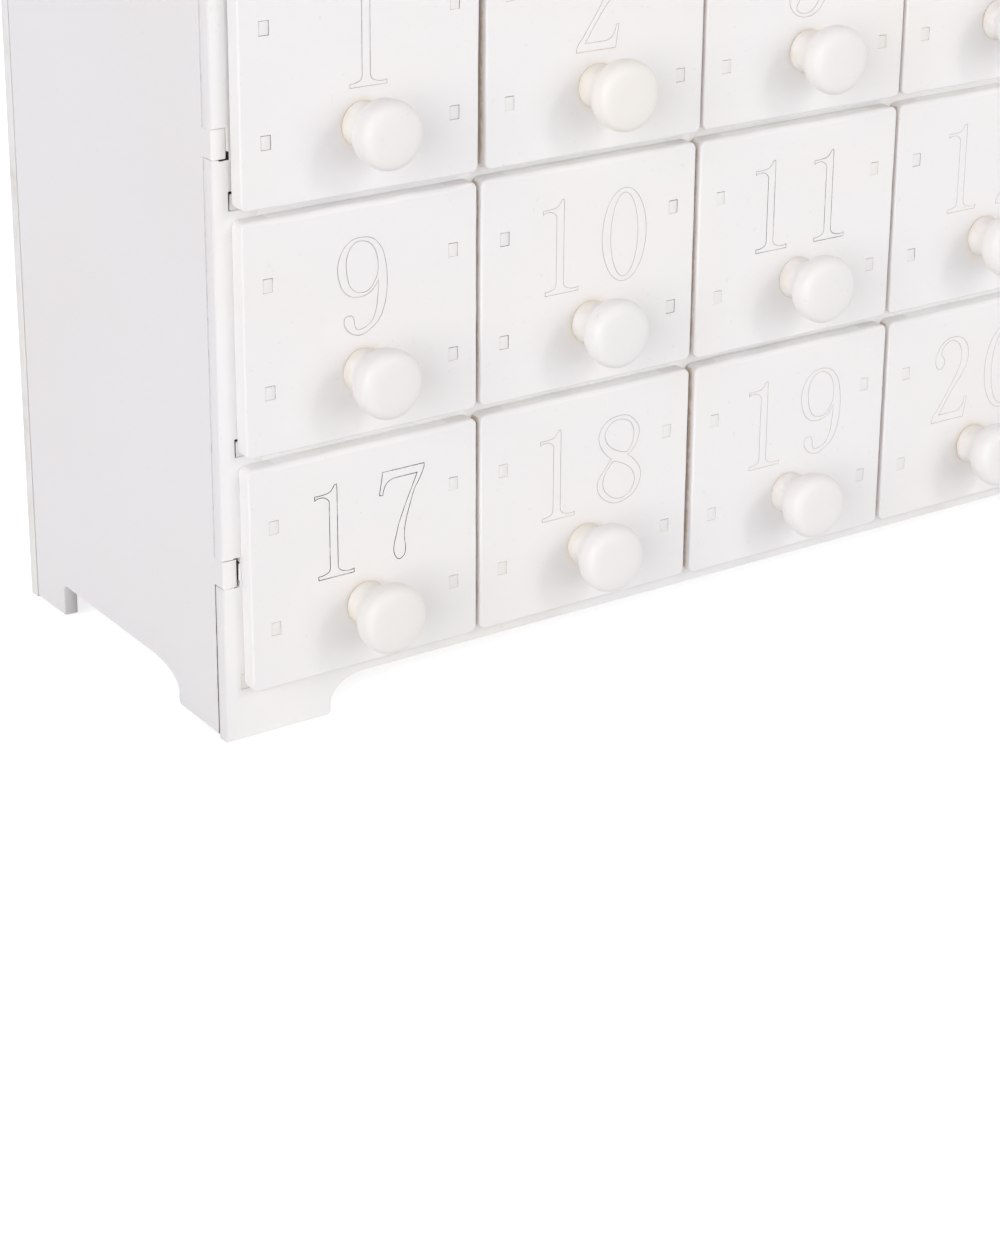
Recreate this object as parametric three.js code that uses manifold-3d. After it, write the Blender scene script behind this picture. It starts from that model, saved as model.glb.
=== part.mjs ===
// A light-up advent calendar: a white cabinet of small numbered drawers under a lit village skyline.
// Lengths are millimetres and +Z is up. X runs along the front, Y from the front to the back.
// The origin is on the ground, in the middle of the footprint.

import * as THREE from "three";
import { mergeVertices } from "three/addons/utils/BufferGeometryUtils.js";
import Module from "manifold-3d";

// Driving dimensions of the whole cabinet
const columns = 8;
const rows = 3;
const columnPitch = 50.4;
const rowPitch = 46;
const cabinetDepth = 76.1; // the side panels, from the front frame to the back panel
const sheet = 3; // every sheet of the cabinet
const seam = 0.3; // glue line or resting gap between two pieces
const overrun = 1; // how far a cut runs past the face it leaves

// Drawer fronts, seen on the face of the cabinet
const frontThickness = 3;
const columnGap = 1.4;
const rowGap = 2;
const frontMargin = 3.9; // from the cabinet's edge to the first front
const frontCorner = 1.4;

// Bracket feet and aprons
const apronHeight = 7.3;
const apronReveal = 3.3; // the strip of apron that shows under the lowest fronts
const footWidth = 22.4;
const footRise = 2.2;
const footArch = 7.4;
const footRounding = 0.6;
const sideLift = 0.6; // the side panels hang this much higher than the front frame
const sideFrontFoot = 15.4;
const sideFrontArch = 10.4;
const sideRearFoot = 12.2;
const sideRearArch = 1.6;
const sideFootRise = 2.6;

// Trays behind the fronts
const trayWall = 2;
const trayInset = 4.05; // from the end of a front to the side wall of its tray
const trayTopInset = 3.1; // from the top of a front to the rim of its tray
const trayBackRoom = 7.7; // from a tray to the back edge of its shelf
const trayHeld = 12; // the length of tray that stays in the cabinet when it is pulled out
const traySideClearance = 0.55;
const trayTopClearance = 0.5;
const shelfOverlap = 2.6; // how far a front hangs below the top of its shelf
const tabHeight = 2.6;
const tabSpacing = 20.1;
const tabRecess = 0.25;

// Knobs
const knobHeight = 12.5; // from the front's lower edge to the knob's centre
const knobBaseRadius = 3.8;
const knobWaistRadius = 3.4;
const knobCapRadius = 6.7;
const knobFaceRadius = 5.7;
const knobWaistAt = 2.4;
const knobFlareAt = 5.6;
const knobRimAt = 8;
const knobRimEnd = 10.2;
const knobLength = 11.4;
const knobSides = 11;
const spigotRadius = 1.7;
const spigotLength = 2.4;
const spigotClearance = 0.3;
const spigotSides = 8;

// Tabs of the side panels and shelves in the front frame
const sideTabHeight = 5.4;
const lowTabRise = 20.5; // from the top of the floor to the middle of the lower side tab
const highTabRise = 9.2; // from the top of the highest shelf to the middle of the upper one
const sideTabRecess = 0.2;
const shelfTabWidth = 5.6;
const shelfTabInset = 0.4; // from the inner face of the side panel
const tabSlack = 0.2;

// The lit scene above the drawers
const bankHeight = 11; // the snow bank that the front skyline stands on
const frontSceneHeight = 78;
const middleSceneHeight = 104;
const backSceneHeight = 146;
const middleSceneAt = 37; // from the back of the front frame to the middle layer
const middleSceneInset = 22; // from the cabinet's ends to the middle layer
const middleTabWidth = 22;
const sideFrontTop = 30; // the side panels above the deck, at the front
const sideBackTop = 88; // and at the back
const chimneyWidth = 5;
const chimneyHeight = 11;
const roofOverhang = 2.4;
const roofLip = 2.6;
const windowWidth = 7;
const windowHeight = 9.5;
const glazingBar = 1.2;
const atticWindow = 3; // from the middle to a point of the square attic window
const doorWidth = 8.5;
const doorHeight = 15;
const trunkWidth = 4.4;
const trunkHeight = 6;
const porthole = 4; // radius of the tower's round window
const portholeSides = 12;

// Light string
const leadRadius = 0.6;
const bulbRadius = 2.5;
const bulbHeight = 7.4;
const bulbSides = 6;
const leadSides = 5;
const leadSteps = 46;
const leadHole = 2;
const leadHoleSides = 8;
const leadStraight = 6; // in front of the back panel, before the lead turns
const laneInset = 15.5; // from the front frame or back panel to a lane of the string
const laneEnd = 14; // from the inner face of the side panel to the string's turn
const bulbsPerLane = 5;

// Battery box on the back panel
const boxWall = 1.6;
const boxCorner = 2;
const boxOffset = 98; // from the middle of the cabinet to the middle of the box
const boxRise = 9; // how far the box stands above the top of the deck
const switchRoomHeight = 26.7;
const lipThickness = 1;
const grooveDepth = 0.8;
const coverThickness = 1.5;
const coverClearance = 0.3;
const gripHeight = 1.2;
const gripPitch = 3.2;
const gripRise = 0.6;
const gripCount = 5;
const cellRadius = 7.2;
const cellLength = 49.5;
const nubRadius = 2.7;
const nubLength = 1;
const cellSideRoom = 1.85; // from a cell to the side wall of the bay
const cellEndRoom = 3; // for the contacts at both ends of a cell
const cellSides = 14;
const switchTravel = 3;
const sliderWidth = 5;
const sliderHeight = 3.6;
const sliderProud = 1.6;
const flangeMargin = 1.8;
const flangeThickness = 1.4;
const sliderClearance = 0.3;

// How finely round edges are stepped
const arcSegments = 4;
const cornerSegments = 2;
const sweepSegments = 8;

// Sizes that follow from the ones above
const frontWidth = columnPitch - columnGap;
const frontHeight = rowPitch - rowGap;
const cabinetWidth = 2 * frontMargin + columns * columnPitch - columnGap;
const halfWidth = cabinetWidth / 2;
const innerHalf = halfWidth - sheet;
const lowestFront = apronHeight + apronReveal;
const frameBack = sheet; // the front frame's front face is at zero depth
const sideFront = frameBack + seam;
const sideBack = sideFront + cabinetDepth;
const trayWidth = frontWidth - 2 * trayInset;
const trayHeight = frontHeight - shelfOverlap - seam - trayTopInset;
const trayDepth = sideBack + seam - trayBackRoom;
const drawerTravel = trayDepth - trayHeld;
const boxWidth = 4 * cellRadius + seam + 2 * cellSideRoom + 2 * boxWall;
const boxDepth = boxWall + seam + 2 * cellRadius + coverThickness + 2 * coverClearance + lipThickness;
const bayHeight = cellLength + nubLength + 2 * cellEndRoom;
const boxHeight = bayHeight + switchRoomHeight + 3 * boxWall;
const panelFront = sideBack + seam;
const panelBack = panelFront + sheet;
const boxFront = panelBack + seam;
const boxBack = boxFront + boxDepth;
const knobTip = -(seam + frontThickness + seam + knobLength);
const sliderTip = boxBack + sliderProud;
const footprintMiddle = (knobTip + sliderTip) / 2;
const shelfTop = (level) => lowestFront + shelfOverlap + level * rowPitch;
const deckTop = shelfTop(rows);
const columnMiddle = (column) => -halfWidth + frontMargin + frontWidth / 2 + column * columnPitch;
const boxTop = deckTop + boxRise;
const boxBottom = boxTop - boxHeight;
const leadHeight = deckTop + seam + leadRadius;

// Materials
const whitePaint = new THREE.MeshStandardMaterial({ color: "#ebe9e9", roughness: 0.62, metalness: 0 });
const whiteEdge = new THREE.MeshStandardMaterial({ color: "#e9e7e8", roughness: 0.66, metalness: 0 });
const frontPaint = new THREE.MeshStandardMaterial({ color: "#f0eeed", roughness: 0.58, metalness: 0 });
const knobPaint = new THREE.MeshStandardMaterial({ color: "#eeebeb", roughness: 0.5, metalness: 0 });
const bulbGlass = new THREE.MeshStandardMaterial({ color: "#ffe3ad", roughness: 0.25, metalness: 0 });
const boxPlastic = new THREE.MeshStandardMaterial({ color: "#e8e6e2", roughness: 0.42, metalness: 0 });
const switchPlastic = new THREE.MeshStandardMaterial({ color: "#2b2b2d", roughness: 0.45, metalness: 0 });
const cellSleeve = new THREE.MeshStandardMaterial({ color: "#5d6268", roughness: 0.35, metalness: 0.4 });

const wasm = await Module();
wasm.setup();

// Joining and cutting

function solidFrom(geometry) {
  const bare = geometry.clone();
  bare.deleteAttribute("normal");
  bare.deleteAttribute("uv");
  const merged = mergeVertices(bare);
  return new wasm.Manifold(
    new wasm.Mesh({
      numProp: 3,
      vertProperties: merged.attributes.position.array,
      triVerts: new Uint32Array(merged.index.array),
    }),
  );
}

function geometryFrom(solid) {
  const mesh = solid.getMesh();
  const geometry = new THREE.BufferGeometry();
  geometry.setAttribute("position", new THREE.BufferAttribute(mesh.vertProperties, mesh.numProp));
  geometry.setIndex(new THREE.BufferAttribute(mesh.triVerts, 1));
  const faceted = geometry.toNonIndexed();
  faceted.computeVertexNormals();
  return faceted;
}

function join(solids) {
  return solids.reduce((whole, solid) => whole.add(solid));
}

function cut(solid, tools) {
  return tools.reduce((left, tool) => left.subtract(tool), solid);
}

// A block between two limits along each axis
function block([x0, x1], [y0, y1], [z0, z1]) {
  const geometry = new THREE.BoxGeometry(x1 - x0, y1 - y0, z1 - z0);
  geometry.translate((x0 + x1) / 2, (y0 + y1) / 2, (z0 + z1) / 2);
  return solidFrom(geometry);
}

// An upright sheet parallel to the front, from an outline drawn as (x, z)
function frontSheet(outline, front, thickness, segments = arcSegments) {
  const geometry = new THREE.ExtrudeGeometry(outline, {
    depth: thickness,
    bevelEnabled: false,
    curveSegments: segments,
  });
  geometry.rotateX(Math.PI / 2);
  geometry.translate(0, front + thickness, 0);
  return solidFrom(geometry);
}

// An upright sheet parallel to the sides, from an outline drawn as (y, z)
function sideSheet(outline, left, thickness) {
  const geometry = new THREE.ExtrudeGeometry(outline, {
    depth: thickness,
    bevelEnabled: false,
    curveSegments: sweepSegments,
  });
  const turned = new THREE.Matrix4().makeBasis(
    new THREE.Vector3(0, 1, 0),
    new THREE.Vector3(0, 0, 1),
    new THREE.Vector3(1, 0, 0),
  );
  geometry.applyMatrix4(turned);
  geometry.translate(left, 0, 0);
  return solidFrom(geometry);
}

// A round bar or hole along Y
function barAlongY(radius, sides, x, z, [y0, y1]) {
  const geometry = new THREE.CylinderGeometry(radius, radius, y1 - y0, sides);
  geometry.translate(0, (y0 + y1) / 2, 0);
  geometry.translate(x, 0, z);
  return solidFrom(geometry);
}

function outlineOf(points) {
  return new THREE.Shape(points.map(([u, v]) => new THREE.Vector2(u, v)));
}

function rectangle(u0, u1, v0, v1) {
  return outlineOf([
    [u0, v0],
    [u1, v0],
    [u1, v1],
    [u0, v1],
  ]);
}

function roundedRectangle(u0, u1, v0, v1, radius) {
  const outline = new THREE.Shape();
  outline.moveTo(u0 + radius, v0);
  outline.lineTo(u1 - radius, v0);
  outline.absarc(u1 - radius, v0 + radius, radius, -Math.PI / 2, 0, false);
  outline.lineTo(u1, v1 - radius);
  outline.absarc(u1 - radius, v1 - radius, radius, 0, Math.PI / 2, false);
  outline.lineTo(u0 + radius, v1);
  outline.absarc(u0 + radius, v1 - radius, radius, Math.PI / 2, Math.PI, false);
  outline.lineTo(u0, v0 + radius);
  outline.absarc(u0 + radius, v0 + radius, radius, Math.PI, 1.5 * Math.PI, false);
  return outline;
}

// The front frame and the back panel stand on the same pair of bracket feet.
// Their plain part ends at the top of the deck, where the skylines begin.
function footedPanel(top) {
  const footEnd = halfWidth - footWidth;
  const outline = new THREE.Shape();
  outline.moveTo(-halfWidth, 0);
  outline.lineTo(-footEnd - footRounding, 0);
  outline.lineTo(-footEnd, footRounding);
  outline.lineTo(-footEnd, footRise);
  const archRise = apronHeight - footRise;
  outline.absellipse(-footEnd + footArch, footRise, footArch, archRise, Math.PI, Math.PI / 2, true);
  outline.lineTo(footEnd - footArch, apronHeight);
  outline.absellipse(footEnd - footArch, footRise, footArch, archRise, Math.PI / 2, 0, true);
  outline.lineTo(footEnd, footRounding);
  outline.lineTo(footEnd + footRounding, 0);
  outline.lineTo(halfWidth, 0);
  outline.lineTo(halfWidth, top);
  outline.lineTo(-halfWidth, top);
  return outline;
}

// Skyline figures, drawn standing on a given height

const firNeckShare = 0.55; // of the skirt above it
const bankWaves = 5;
const stepsPerWave = 4;
const bankWaveShare = 0.35; // of the bank's height

function fir(x, base, width, height, tiers) {
  const points = [
    [x - trunkWidth / 2, base],
    [x + trunkWidth / 2, base],
    [x + trunkWidth / 2, base + trunkHeight],
  ];
  const tierHeight = (height - trunkHeight) / tiers;
  const left = [];
  for (let tier = 0; tier < tiers; tier += 1) {
    const skirt = (width / 2) * (1 - tier / (tiers + 1));
    const neck = (width / 2) * (1 - (tier + 1) / (tiers + 1)) * firNeckShare;
    const low = base + trunkHeight + tier * tierHeight;
    points.push([x + skirt, low]);
    left.unshift([x - skirt, low]);
    if (tier < tiers - 1) {
      points.push([x + neck, low + tierHeight]);
      left.unshift([x - neck, low + tierHeight]);
    }
  }
  points.push([x, base + height]);
  return outlineOf([...points, ...left, [x - trunkWidth / 2, base + trunkHeight]]);
}

function gable(x, base, width, eaves, ridge) {
  const half = width / 2;
  const slope = (ridge - eaves) / half;
  return outlineOf([
    [x - half, base],
    [x + half, base],
    [x + half, base + eaves],
    [x + half + roofOverhang, base + eaves - slope * roofOverhang],
    [x + half + roofOverhang, base + eaves - slope * roofOverhang + roofLip],
    [x, base + ridge + roofLip],
    [x - half - roofOverhang, base + eaves - slope * roofOverhang + roofLip],
    [x - half - roofOverhang, base + eaves - slope * roofOverhang],
    [x - half, base + eaves],
  ]);
}

function chimney(x, base, width, eaves, ridge) {
  const middle = x + width / 4;
  const onRoof = base + (eaves + ridge) / 2;
  const half = chimneyWidth / 2;
  return rectangle(middle - half, middle + half, onRoof - roofLip, onRoof + chimneyHeight);
}

// Rows of windows, with an upright glazing bar or without, which leave room for a door
function windowsOf(x, base, width, eaves, storeys, bays, door, barred) {
  const holes = [];
  const storeyHeight = eaves / storeys;
  for (let storey = 0; storey < storeys; storey += 1) {
    const middle = base + (storey + 0.5) * storeyHeight;
    for (let bay = 0; bay < bays; bay += 1) {
      const centre = x + (bay - (bays - 1) / 2) * (width / bays);
      if (door && storey === 0 && bay === Math.floor(bays / 2)) {
        continue;
      }
      const low = middle - windowHeight / 2;
      const high = middle + windowHeight / 2;
      if (barred) {
        holes.push(rectangle(centre - windowWidth / 2, centre - glazingBar / 2, low, high));
        holes.push(rectangle(centre + glazingBar / 2, centre + windowWidth / 2, low, high));
      } else {
        holes.push(rectangle(centre - windowWidth / 2, centre + windowWidth / 2, low, high));
      }
    }
  }
  return holes;
}

function atticOf(x, base, eaves, ridge) {
  const middle = base + eaves + (ridge - eaves) / 3;
  return outlineOf([
    [x, middle - atticWindow],
    [x + atticWindow, middle],
    [x, middle + atticWindow],
    [x - atticWindow, middle],
  ]);
}

function doorOf(x, base, width, bays) {
  const centre = x + (Math.floor(bays / 2) - (bays - 1) / 2) * (width / bays);
  const outline = new THREE.Shape();
  outline.moveTo(centre - doorWidth / 2, base);
  outline.lineTo(centre + doorWidth / 2, base);
  outline.lineTo(centre + doorWidth / 2, base + doorHeight - doorWidth / 2);
  outline.absarc(centre, base + doorHeight - doorWidth / 2, doorWidth / 2, 0, Math.PI, false);
  return outline;
}

// Each skyline is a table of figures in shares of its layer: where the figure stands along the layer,
// its width as a share of the layer's length, and its heights as shares of the layer's height.
const frontFirShares = [
  { at: 0.035, width: 0.062, height: 0.62, tiers: 3 },
  { at: 0.1, width: 0.082, height: 0.96, tiers: 4 },
  { at: 0.168, width: 0.066, height: 0.7, tiers: 3 },
  { at: 0.395, width: 0.064, height: 0.66, tiers: 3 },
  { at: 0.628, width: 0.07, height: 0.74, tiers: 3 },
  { at: 0.69, width: 0.056, height: 0.56, tiers: 3 },
  { at: 0.905, width: 0.08, height: 1, tiers: 4 },
  { at: 0.965, width: 0.06, height: 0.66, tiers: 3 },
];
const frontHouseShares = [
  { at: 0.272, width: 0.115, eaves: 0.36, ridge: 0.66, storeys: 1, bays: 3, door: true },
  { at: 0.5, width: 0.13, eaves: 0.4, ridge: 0.74, storeys: 1, bays: 3, door: true },
  { at: 0.8, width: 0.115, eaves: 0.36, ridge: 0.68, storeys: 1, bays: 3, door: true },
];
const middleHouseShares = [
  { at: 0.075, width: 0.12, eaves: 0.5, ridge: 0.76, storeys: 2, bays: 3, door: false },
  { at: 0.225, width: 0.13, eaves: 0.62, ridge: 0.9, storeys: 2, bays: 3, door: false },
  { at: 0.385, width: 0.12, eaves: 0.54, ridge: 0.78, storeys: 2, bays: 3, door: false },
  { at: 0.56, width: 0.14, eaves: 0.66, ridge: 0.96, storeys: 2, bays: 3, door: false },
  { at: 0.73, width: 0.12, eaves: 0.56, ridge: 0.82, storeys: 2, bays: 3, door: false },
  { at: 0.895, width: 0.13, eaves: 0.6, ridge: 0.88, storeys: 2, bays: 3, door: false },
];
const backHouseShares = [
  { at: 0.075, width: 0.1, eaves: 0.5, ridge: 0.68, storeys: 3, bays: 2, door: false },
  { at: 0.205, width: 0.1, eaves: 0.6, ridge: 0.8, storeys: 3, bays: 2, door: false },
  { at: 0.33, width: 0.1, eaves: 0.52, ridge: 0.7, storeys: 3, bays: 2, door: false },
  { at: 0.58, width: 0.11, eaves: 0.62, ridge: 0.82, storeys: 3, bays: 2, door: false },
  { at: 0.71, width: 0.1, eaves: 0.54, ridge: 0.74, storeys: 3, bays: 2, door: false },
  { at: 0.9, width: 0.11, eaves: 0.6, ridge: 0.8, storeys: 3, bays: 2, door: false },
];
const backFirShares = [
  { at: 0.395, width: 0.07, height: 0.62, tiers: 4 },
  { at: 0.52, width: 0.06, height: 0.56, tiers: 4 },
  { at: 0.8, width: 0.075, height: 0.66, tiers: 4 },
];
const towerShares = { at: 0.457, width: 0.085, eaves: 0.7, ridge: 0.99 };
const hillTopShares = [0.4, 0.46, 0.5, 0.44, 0.5, 0.42, 0.47, 0.4]; // of the back skyline's height

function figuresOf(shares, left, length, base, height) {
  return shares.map((figure) => ({
    ...figure,
    x: left + figure.at * length,
    base,
    wide: figure.width * length,
    tall: (figure.height ?? 0) * height,
    wall: (figure.eaves ?? 0) * height,
    top: (figure.ridge ?? 0) * height,
  }));
}

function houseSheets(houses, front) {
  return houses.flatMap((h) => [
    frontSheet(gable(h.x, h.base, h.wide, h.wall, h.top), front, sheet),
    frontSheet(chimney(h.x, h.base, h.wide, h.wall, h.top), front, sheet),
  ]);
}

function houseHoles(houses, front, barred) {
  const through = (outline) => frontSheet(outline, front - overrun, sheet + 2 * overrun);
  return houses.flatMap((h) => {
    const holes = windowsOf(h.x, h.base, h.wide, h.wall, h.storeys, h.bays, h.door, barred);
    holes.push(atticOf(h.x, h.base, h.wall, h.top));
    if (h.door) {
      holes.push(doorOf(h.x, h.base, h.wide, h.bays));
    }
    return holes.map(through);
  });
}

function firSheets(firs, front) {
  return firs.map((f) => frontSheet(fir(f.x, f.base, f.wide, f.tall, f.tiers), front, sheet));
}

// The snow bank: a strip along a layer with a gently waving top
function bank(left, length, bottom, height) {
  const wave = height * bankWaveShare;
  const steps = bankWaves * stepsPerWave;
  const points = [
    [left, bottom],
    [left + length, bottom],
  ];
  for (let step = steps; step >= 0; step -= 1) {
    const share = step / steps;
    const swell = wave * Math.cos(share * bankWaves * 2 * Math.PI);
    points.push([left + share * length, bottom + height - wave + swell]);
  }
  return outlineOf(points);
}

// Front frame: feet, apron, drawer openings, notches and slots for tabs, and the front skyline
function frontFrame() {
  const openingWidth = trayWidth + 2 * traySideClearance;
  const openingHeight = seam + trayHeight + trayTopClearance;
  const bankLow = bankHeight * (1 - 2 * bankWaveShare);
  const ground = deckTop + bankLow - seam;
  const houses = figuresOf(frontHouseShares, -halfWidth, cabinetWidth, ground, frontSceneHeight - bankLow);
  const firs = figuresOf(frontFirShares, -halfWidth, cabinetWidth, ground, frontSceneHeight - bankLow);
  const cuts = [];
  for (let level = 0; level < rows; level += 1) {
    for (let column = 0; column < columns; column += 1) {
      const x = columnMiddle(column);
      cuts.push(
        block(
          [x - openingWidth / 2, x + openingWidth / 2],
          [-overrun, sheet + overrun],
          [shelfTop(level), shelfTop(level) + openingHeight],
        ),
      );
    }
  }
  for (const side of [-1, 1]) {
    for (const middle of sideTabHeights()) {
      const outer = side * (halfWidth + overrun);
      const inner = side * (innerHalf - shelfTabInset);
      cuts.push(
        block(
          [Math.min(outer, inner), Math.max(outer, inner)],
          [-overrun, sheet + overrun],
          [middle - sideTabHeight / 2 - tabSlack, middle + sideTabHeight / 2 + tabSlack],
        ),
      );
    }
    for (let level = 0; level <= rows; level += 1) {
      const outer = side * (innerHalf - shelfTabInset + tabSlack);
      const inner = side * (innerHalf - shelfTabInset - shelfTabWidth - tabSlack);
      cuts.push(
        block(
          [Math.min(outer, inner), Math.max(outer, inner)],
          [-overrun, sheet + overrun],
          [shelfTop(level) - sheet - tabSlack, shelfTop(level) + tabSlack],
        ),
      );
    }
  }
  const whole = join([
    frontSheet(footedPanel(deckTop), 0, sheet),
    frontSheet(bank(-halfWidth, cabinetWidth, deckTop - overrun, bankHeight + overrun), 0, sheet),
    ...houseSheets(houses, 0),
    ...firSheets(firs, 0),
  ]);
  return cut(whole, [...cuts, ...houseHoles(houses, 0, true)]);
}

function sideTabHeights() {
  return [shelfTop(0) + lowTabRise, shelfTop(rows - 1) + highTabRise];
}

// Side panel: one sheet with its own bracket feet, a swept top and tabs that stand in the front frame
function sidePanel(left) {
  const top = deckTop + sideBackTop;
  const low = deckTop + sideFrontTop;
  const sweep = (sideBack - sideFront) / 3;
  const outline = new THREE.Shape();
  outline.moveTo(sideFront, sideLift);
  outline.lineTo(sideFront + sideFrontFoot - footRounding, sideLift);
  outline.lineTo(sideFront + sideFrontFoot, sideLift + footRounding);
  outline.lineTo(sideFront + sideFrontFoot, sideLift + sideFootRise);
  outline.absellipse(
    sideFront + sideFrontFoot + sideFrontArch,
    sideLift + sideFootRise,
    sideFrontArch,
    apronHeight - sideLift - sideFootRise,
    Math.PI,
    Math.PI / 2,
    true,
  );
  outline.lineTo(sideBack - sideRearFoot - sideRearArch, apronHeight);
  outline.absarc(
    sideBack - sideRearFoot - sideRearArch,
    apronHeight - sideRearArch,
    sideRearArch,
    Math.PI / 2,
    0,
    true,
  );
  outline.lineTo(sideBack - sideRearFoot, sideLift);
  outline.lineTo(sideBack, sideLift);
  outline.lineTo(sideBack, top);
  outline.bezierCurveTo(sideBack - sweep, top, sideBack - sweep, low, sideFront + sweep, low);
  outline.lineTo(sideFront, low);
  const tabs = sideTabHeights().map((middle) =>
    block(
      [left, left + sheet],
      [sideTabRecess, sideFront + overrun],
      [middle - sideTabHeight / 2, middle + sideTabHeight / 2],
    ),
  );
  return join([sideSheet(outline, left, sheet), ...tabs]);
}

// Back panel: feet like the front frame's, and the back skyline above the deck
function backPanel() {
  const steps = hillTopShares.length - 1;
  const hills = new THREE.Shape();
  hills.moveTo(-halfWidth, deckTop - overrun);
  hills.lineTo(halfWidth, deckTop - overrun);
  const crest = hillTopShares.map((share, step) => new THREE.Vector2(
    halfWidth - (step / steps) * cabinetWidth,
    deckTop + share * backSceneHeight,
  ));
  hills.lineTo(crest[0].x, crest[0].y);
  hills.splineThru(crest.slice(1));
  const houses = figuresOf(backHouseShares, -halfWidth, cabinetWidth, deckTop, backSceneHeight);
  const firs = figuresOf(backFirShares, -halfWidth, cabinetWidth, deckTop, backSceneHeight);
  const [tower] = figuresOf([towerShares], -halfWidth, cabinetWidth, deckTop, backSceneHeight);
  const through = [panelFront - overrun, panelBack + overrun];
  const whole = join([
    frontSheet(footedPanel(deckTop), panelFront, sheet),
    frontSheet(hills, panelFront, sheet),
    ...houseSheets(houses, panelFront),
    ...firSheets(firs, panelFront),
    frontSheet(gable(tower.x, tower.base, tower.wide, tower.wall, tower.top), panelFront, sheet),
  ]);
  return cut(whole, [
    ...houseHoles(houses, panelFront, false),
    barAlongY(porthole, portholeSides, tower.x, tower.base + tower.wall - porthole, through),
    barAlongY(leadHole, leadHoleSides, boxOffset, leadHeight, through),
  ]);
}

// Floor, shelves, deck and dividers: the crate that the trays run in
function shelfCrate() {
  const reach = innerHalf - seam;
  const plates = [];
  for (let level = 0; level <= rows; level += 1) {
    const height = [shelfTop(level) - sheet, shelfTop(level)];
    plates.push(block([-reach, reach], [sideFront, sideBack], height));
    for (const side of [-1, 1]) {
      const outer = side * (innerHalf - shelfTabInset);
      const inner = side * (innerHalf - shelfTabInset - shelfTabWidth);
      plates.push(
        block([Math.min(outer, inner), Math.max(outer, inner)], [sideTabRecess, sideFront + overrun], height),
      );
    }
  }
  const upright = [shelfTop(0) - overrun, deckTop - overrun];
  for (let column = 1; column < columns; column += 1) {
    const middle = (columnMiddle(column - 1) + columnMiddle(column)) / 2;
    plates.push(block([middle - sheet / 2, middle + sheet / 2], [sideFront, sideBack], upright));
  }
  const slots = middleTabs().map(([left, right]) =>
    block(
      [left - tabSlack, right + tabSlack],
      [sideFront + middleSceneAt - tabSlack, sideFront + middleSceneAt + sheet + tabSlack],
      [deckTop - sheet - overrun, deckTop + overrun],
    ),
  );
  return cut(join(plates), slots);
}

const middleTabShares = [0.14, 0.47, 0.81]; // where the middle layer's tabs are, along its length

function middleTabs() {
  const left = -halfWidth + middleSceneInset;
  const length = cabinetWidth - 2 * middleSceneInset;
  return middleTabShares.map((share) => {
    const middle = left + share * length;
    return [middle - middleTabWidth / 2, middle + middleTabWidth / 2];
  });
}

// Middle layer of houses, standing on the deck with its tabs in the deck's slots
function villageLayer() {
  const left = -halfWidth + middleSceneInset;
  const length = cabinetWidth - 2 * middleSceneInset;
  const front = sideFront + middleSceneAt;
  const bottom = deckTop + seam;
  const ground = bottom + bankHeight;
  const houses = figuresOf(middleHouseShares, left, length, ground, middleSceneHeight - bankHeight);
  const depth = [front, front + sheet];
  const tabs = middleTabs().map((span) => block(span, depth, [deckTop - sheet, bottom + overrun]));
  const whole = join([
    frontSheet(rectangle(left, left + length, bottom, ground + overrun), front, sheet),
    ...houseSheets(houses, front),
    ...tabs,
  ]);
  return cut(whole, houseHoles(houses, front, true));
}

// Drawer: the glued front and tray. Its place is the middle of the front's lower edge at the frame's face.
// The tray's side walls end in tabs that stand in slots of the front, set back a little from its face.
function drawer() {
  const back = -seam;
  const face = back - frontThickness;
  const half = trayWidth / 2;
  const low = shelfOverlap + seam;
  const high = low + trayHeight;
  const plate = frontSheet(
    roundedRectangle(-frontWidth / 2, frontWidth / 2, 0, frontHeight, frontCorner),
    face,
    frontThickness,
    cornerSegments,
  );
  const tray = cut(block([-half, half], [back - overrun, back + trayDepth], [low, high]), [
    block(
      [-half + trayWall, half - trayWall],
      [back, back + trayDepth - trayWall],
      [low + trayWall, high + overrun],
    ),
  ]);
  const tabEnds = [];
  for (const side of [-1, 1]) {
    for (const end of [-1, 1]) {
      const x = side * (half - trayWall / 2);
      const z = (low + high) / 2 + (end * tabSpacing) / 2;
      tabEnds.push(
        block(
          [x - trayWall / 2, x + trayWall / 2],
          [face - overrun, face + tabRecess],
          [z - tabHeight / 2, z + tabHeight / 2],
        ),
      );
    }
  }
  const knobHole = barAlongY(spigotRadius + spigotClearance, spigotSides, 0, knobHeight, [
    face - overrun,
    back + overrun,
  ]);
  return cut(join([plate, tray]), [knobHole, ...tabEnds]);
}

// Knob: turned from one piece, with a spigot in the front's hole. Its axis points out of the cabinet.
function knobGeometry() {
  const profile = [
    [0, -spigotLength],
    [spigotRadius, -spigotLength],
    [spigotRadius, 0],
    [knobBaseRadius, 0],
    [knobWaistRadius, knobWaistAt],
    [(knobWaistRadius + knobCapRadius) / 2, knobFlareAt],
    [knobCapRadius, knobRimAt],
    [knobCapRadius, knobRimEnd],
    [knobFaceRadius, knobLength],
    [0, knobLength],
  ].map(([r, along]) => new THREE.Vector2(r, along));
  const geometry = new THREE.LatheGeometry(profile, knobSides);
  geometry.rotateX(Math.PI);
  geometry.translate(0, -(2 * seam + frontThickness), knobHeight);
  return geometry;
}

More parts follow.
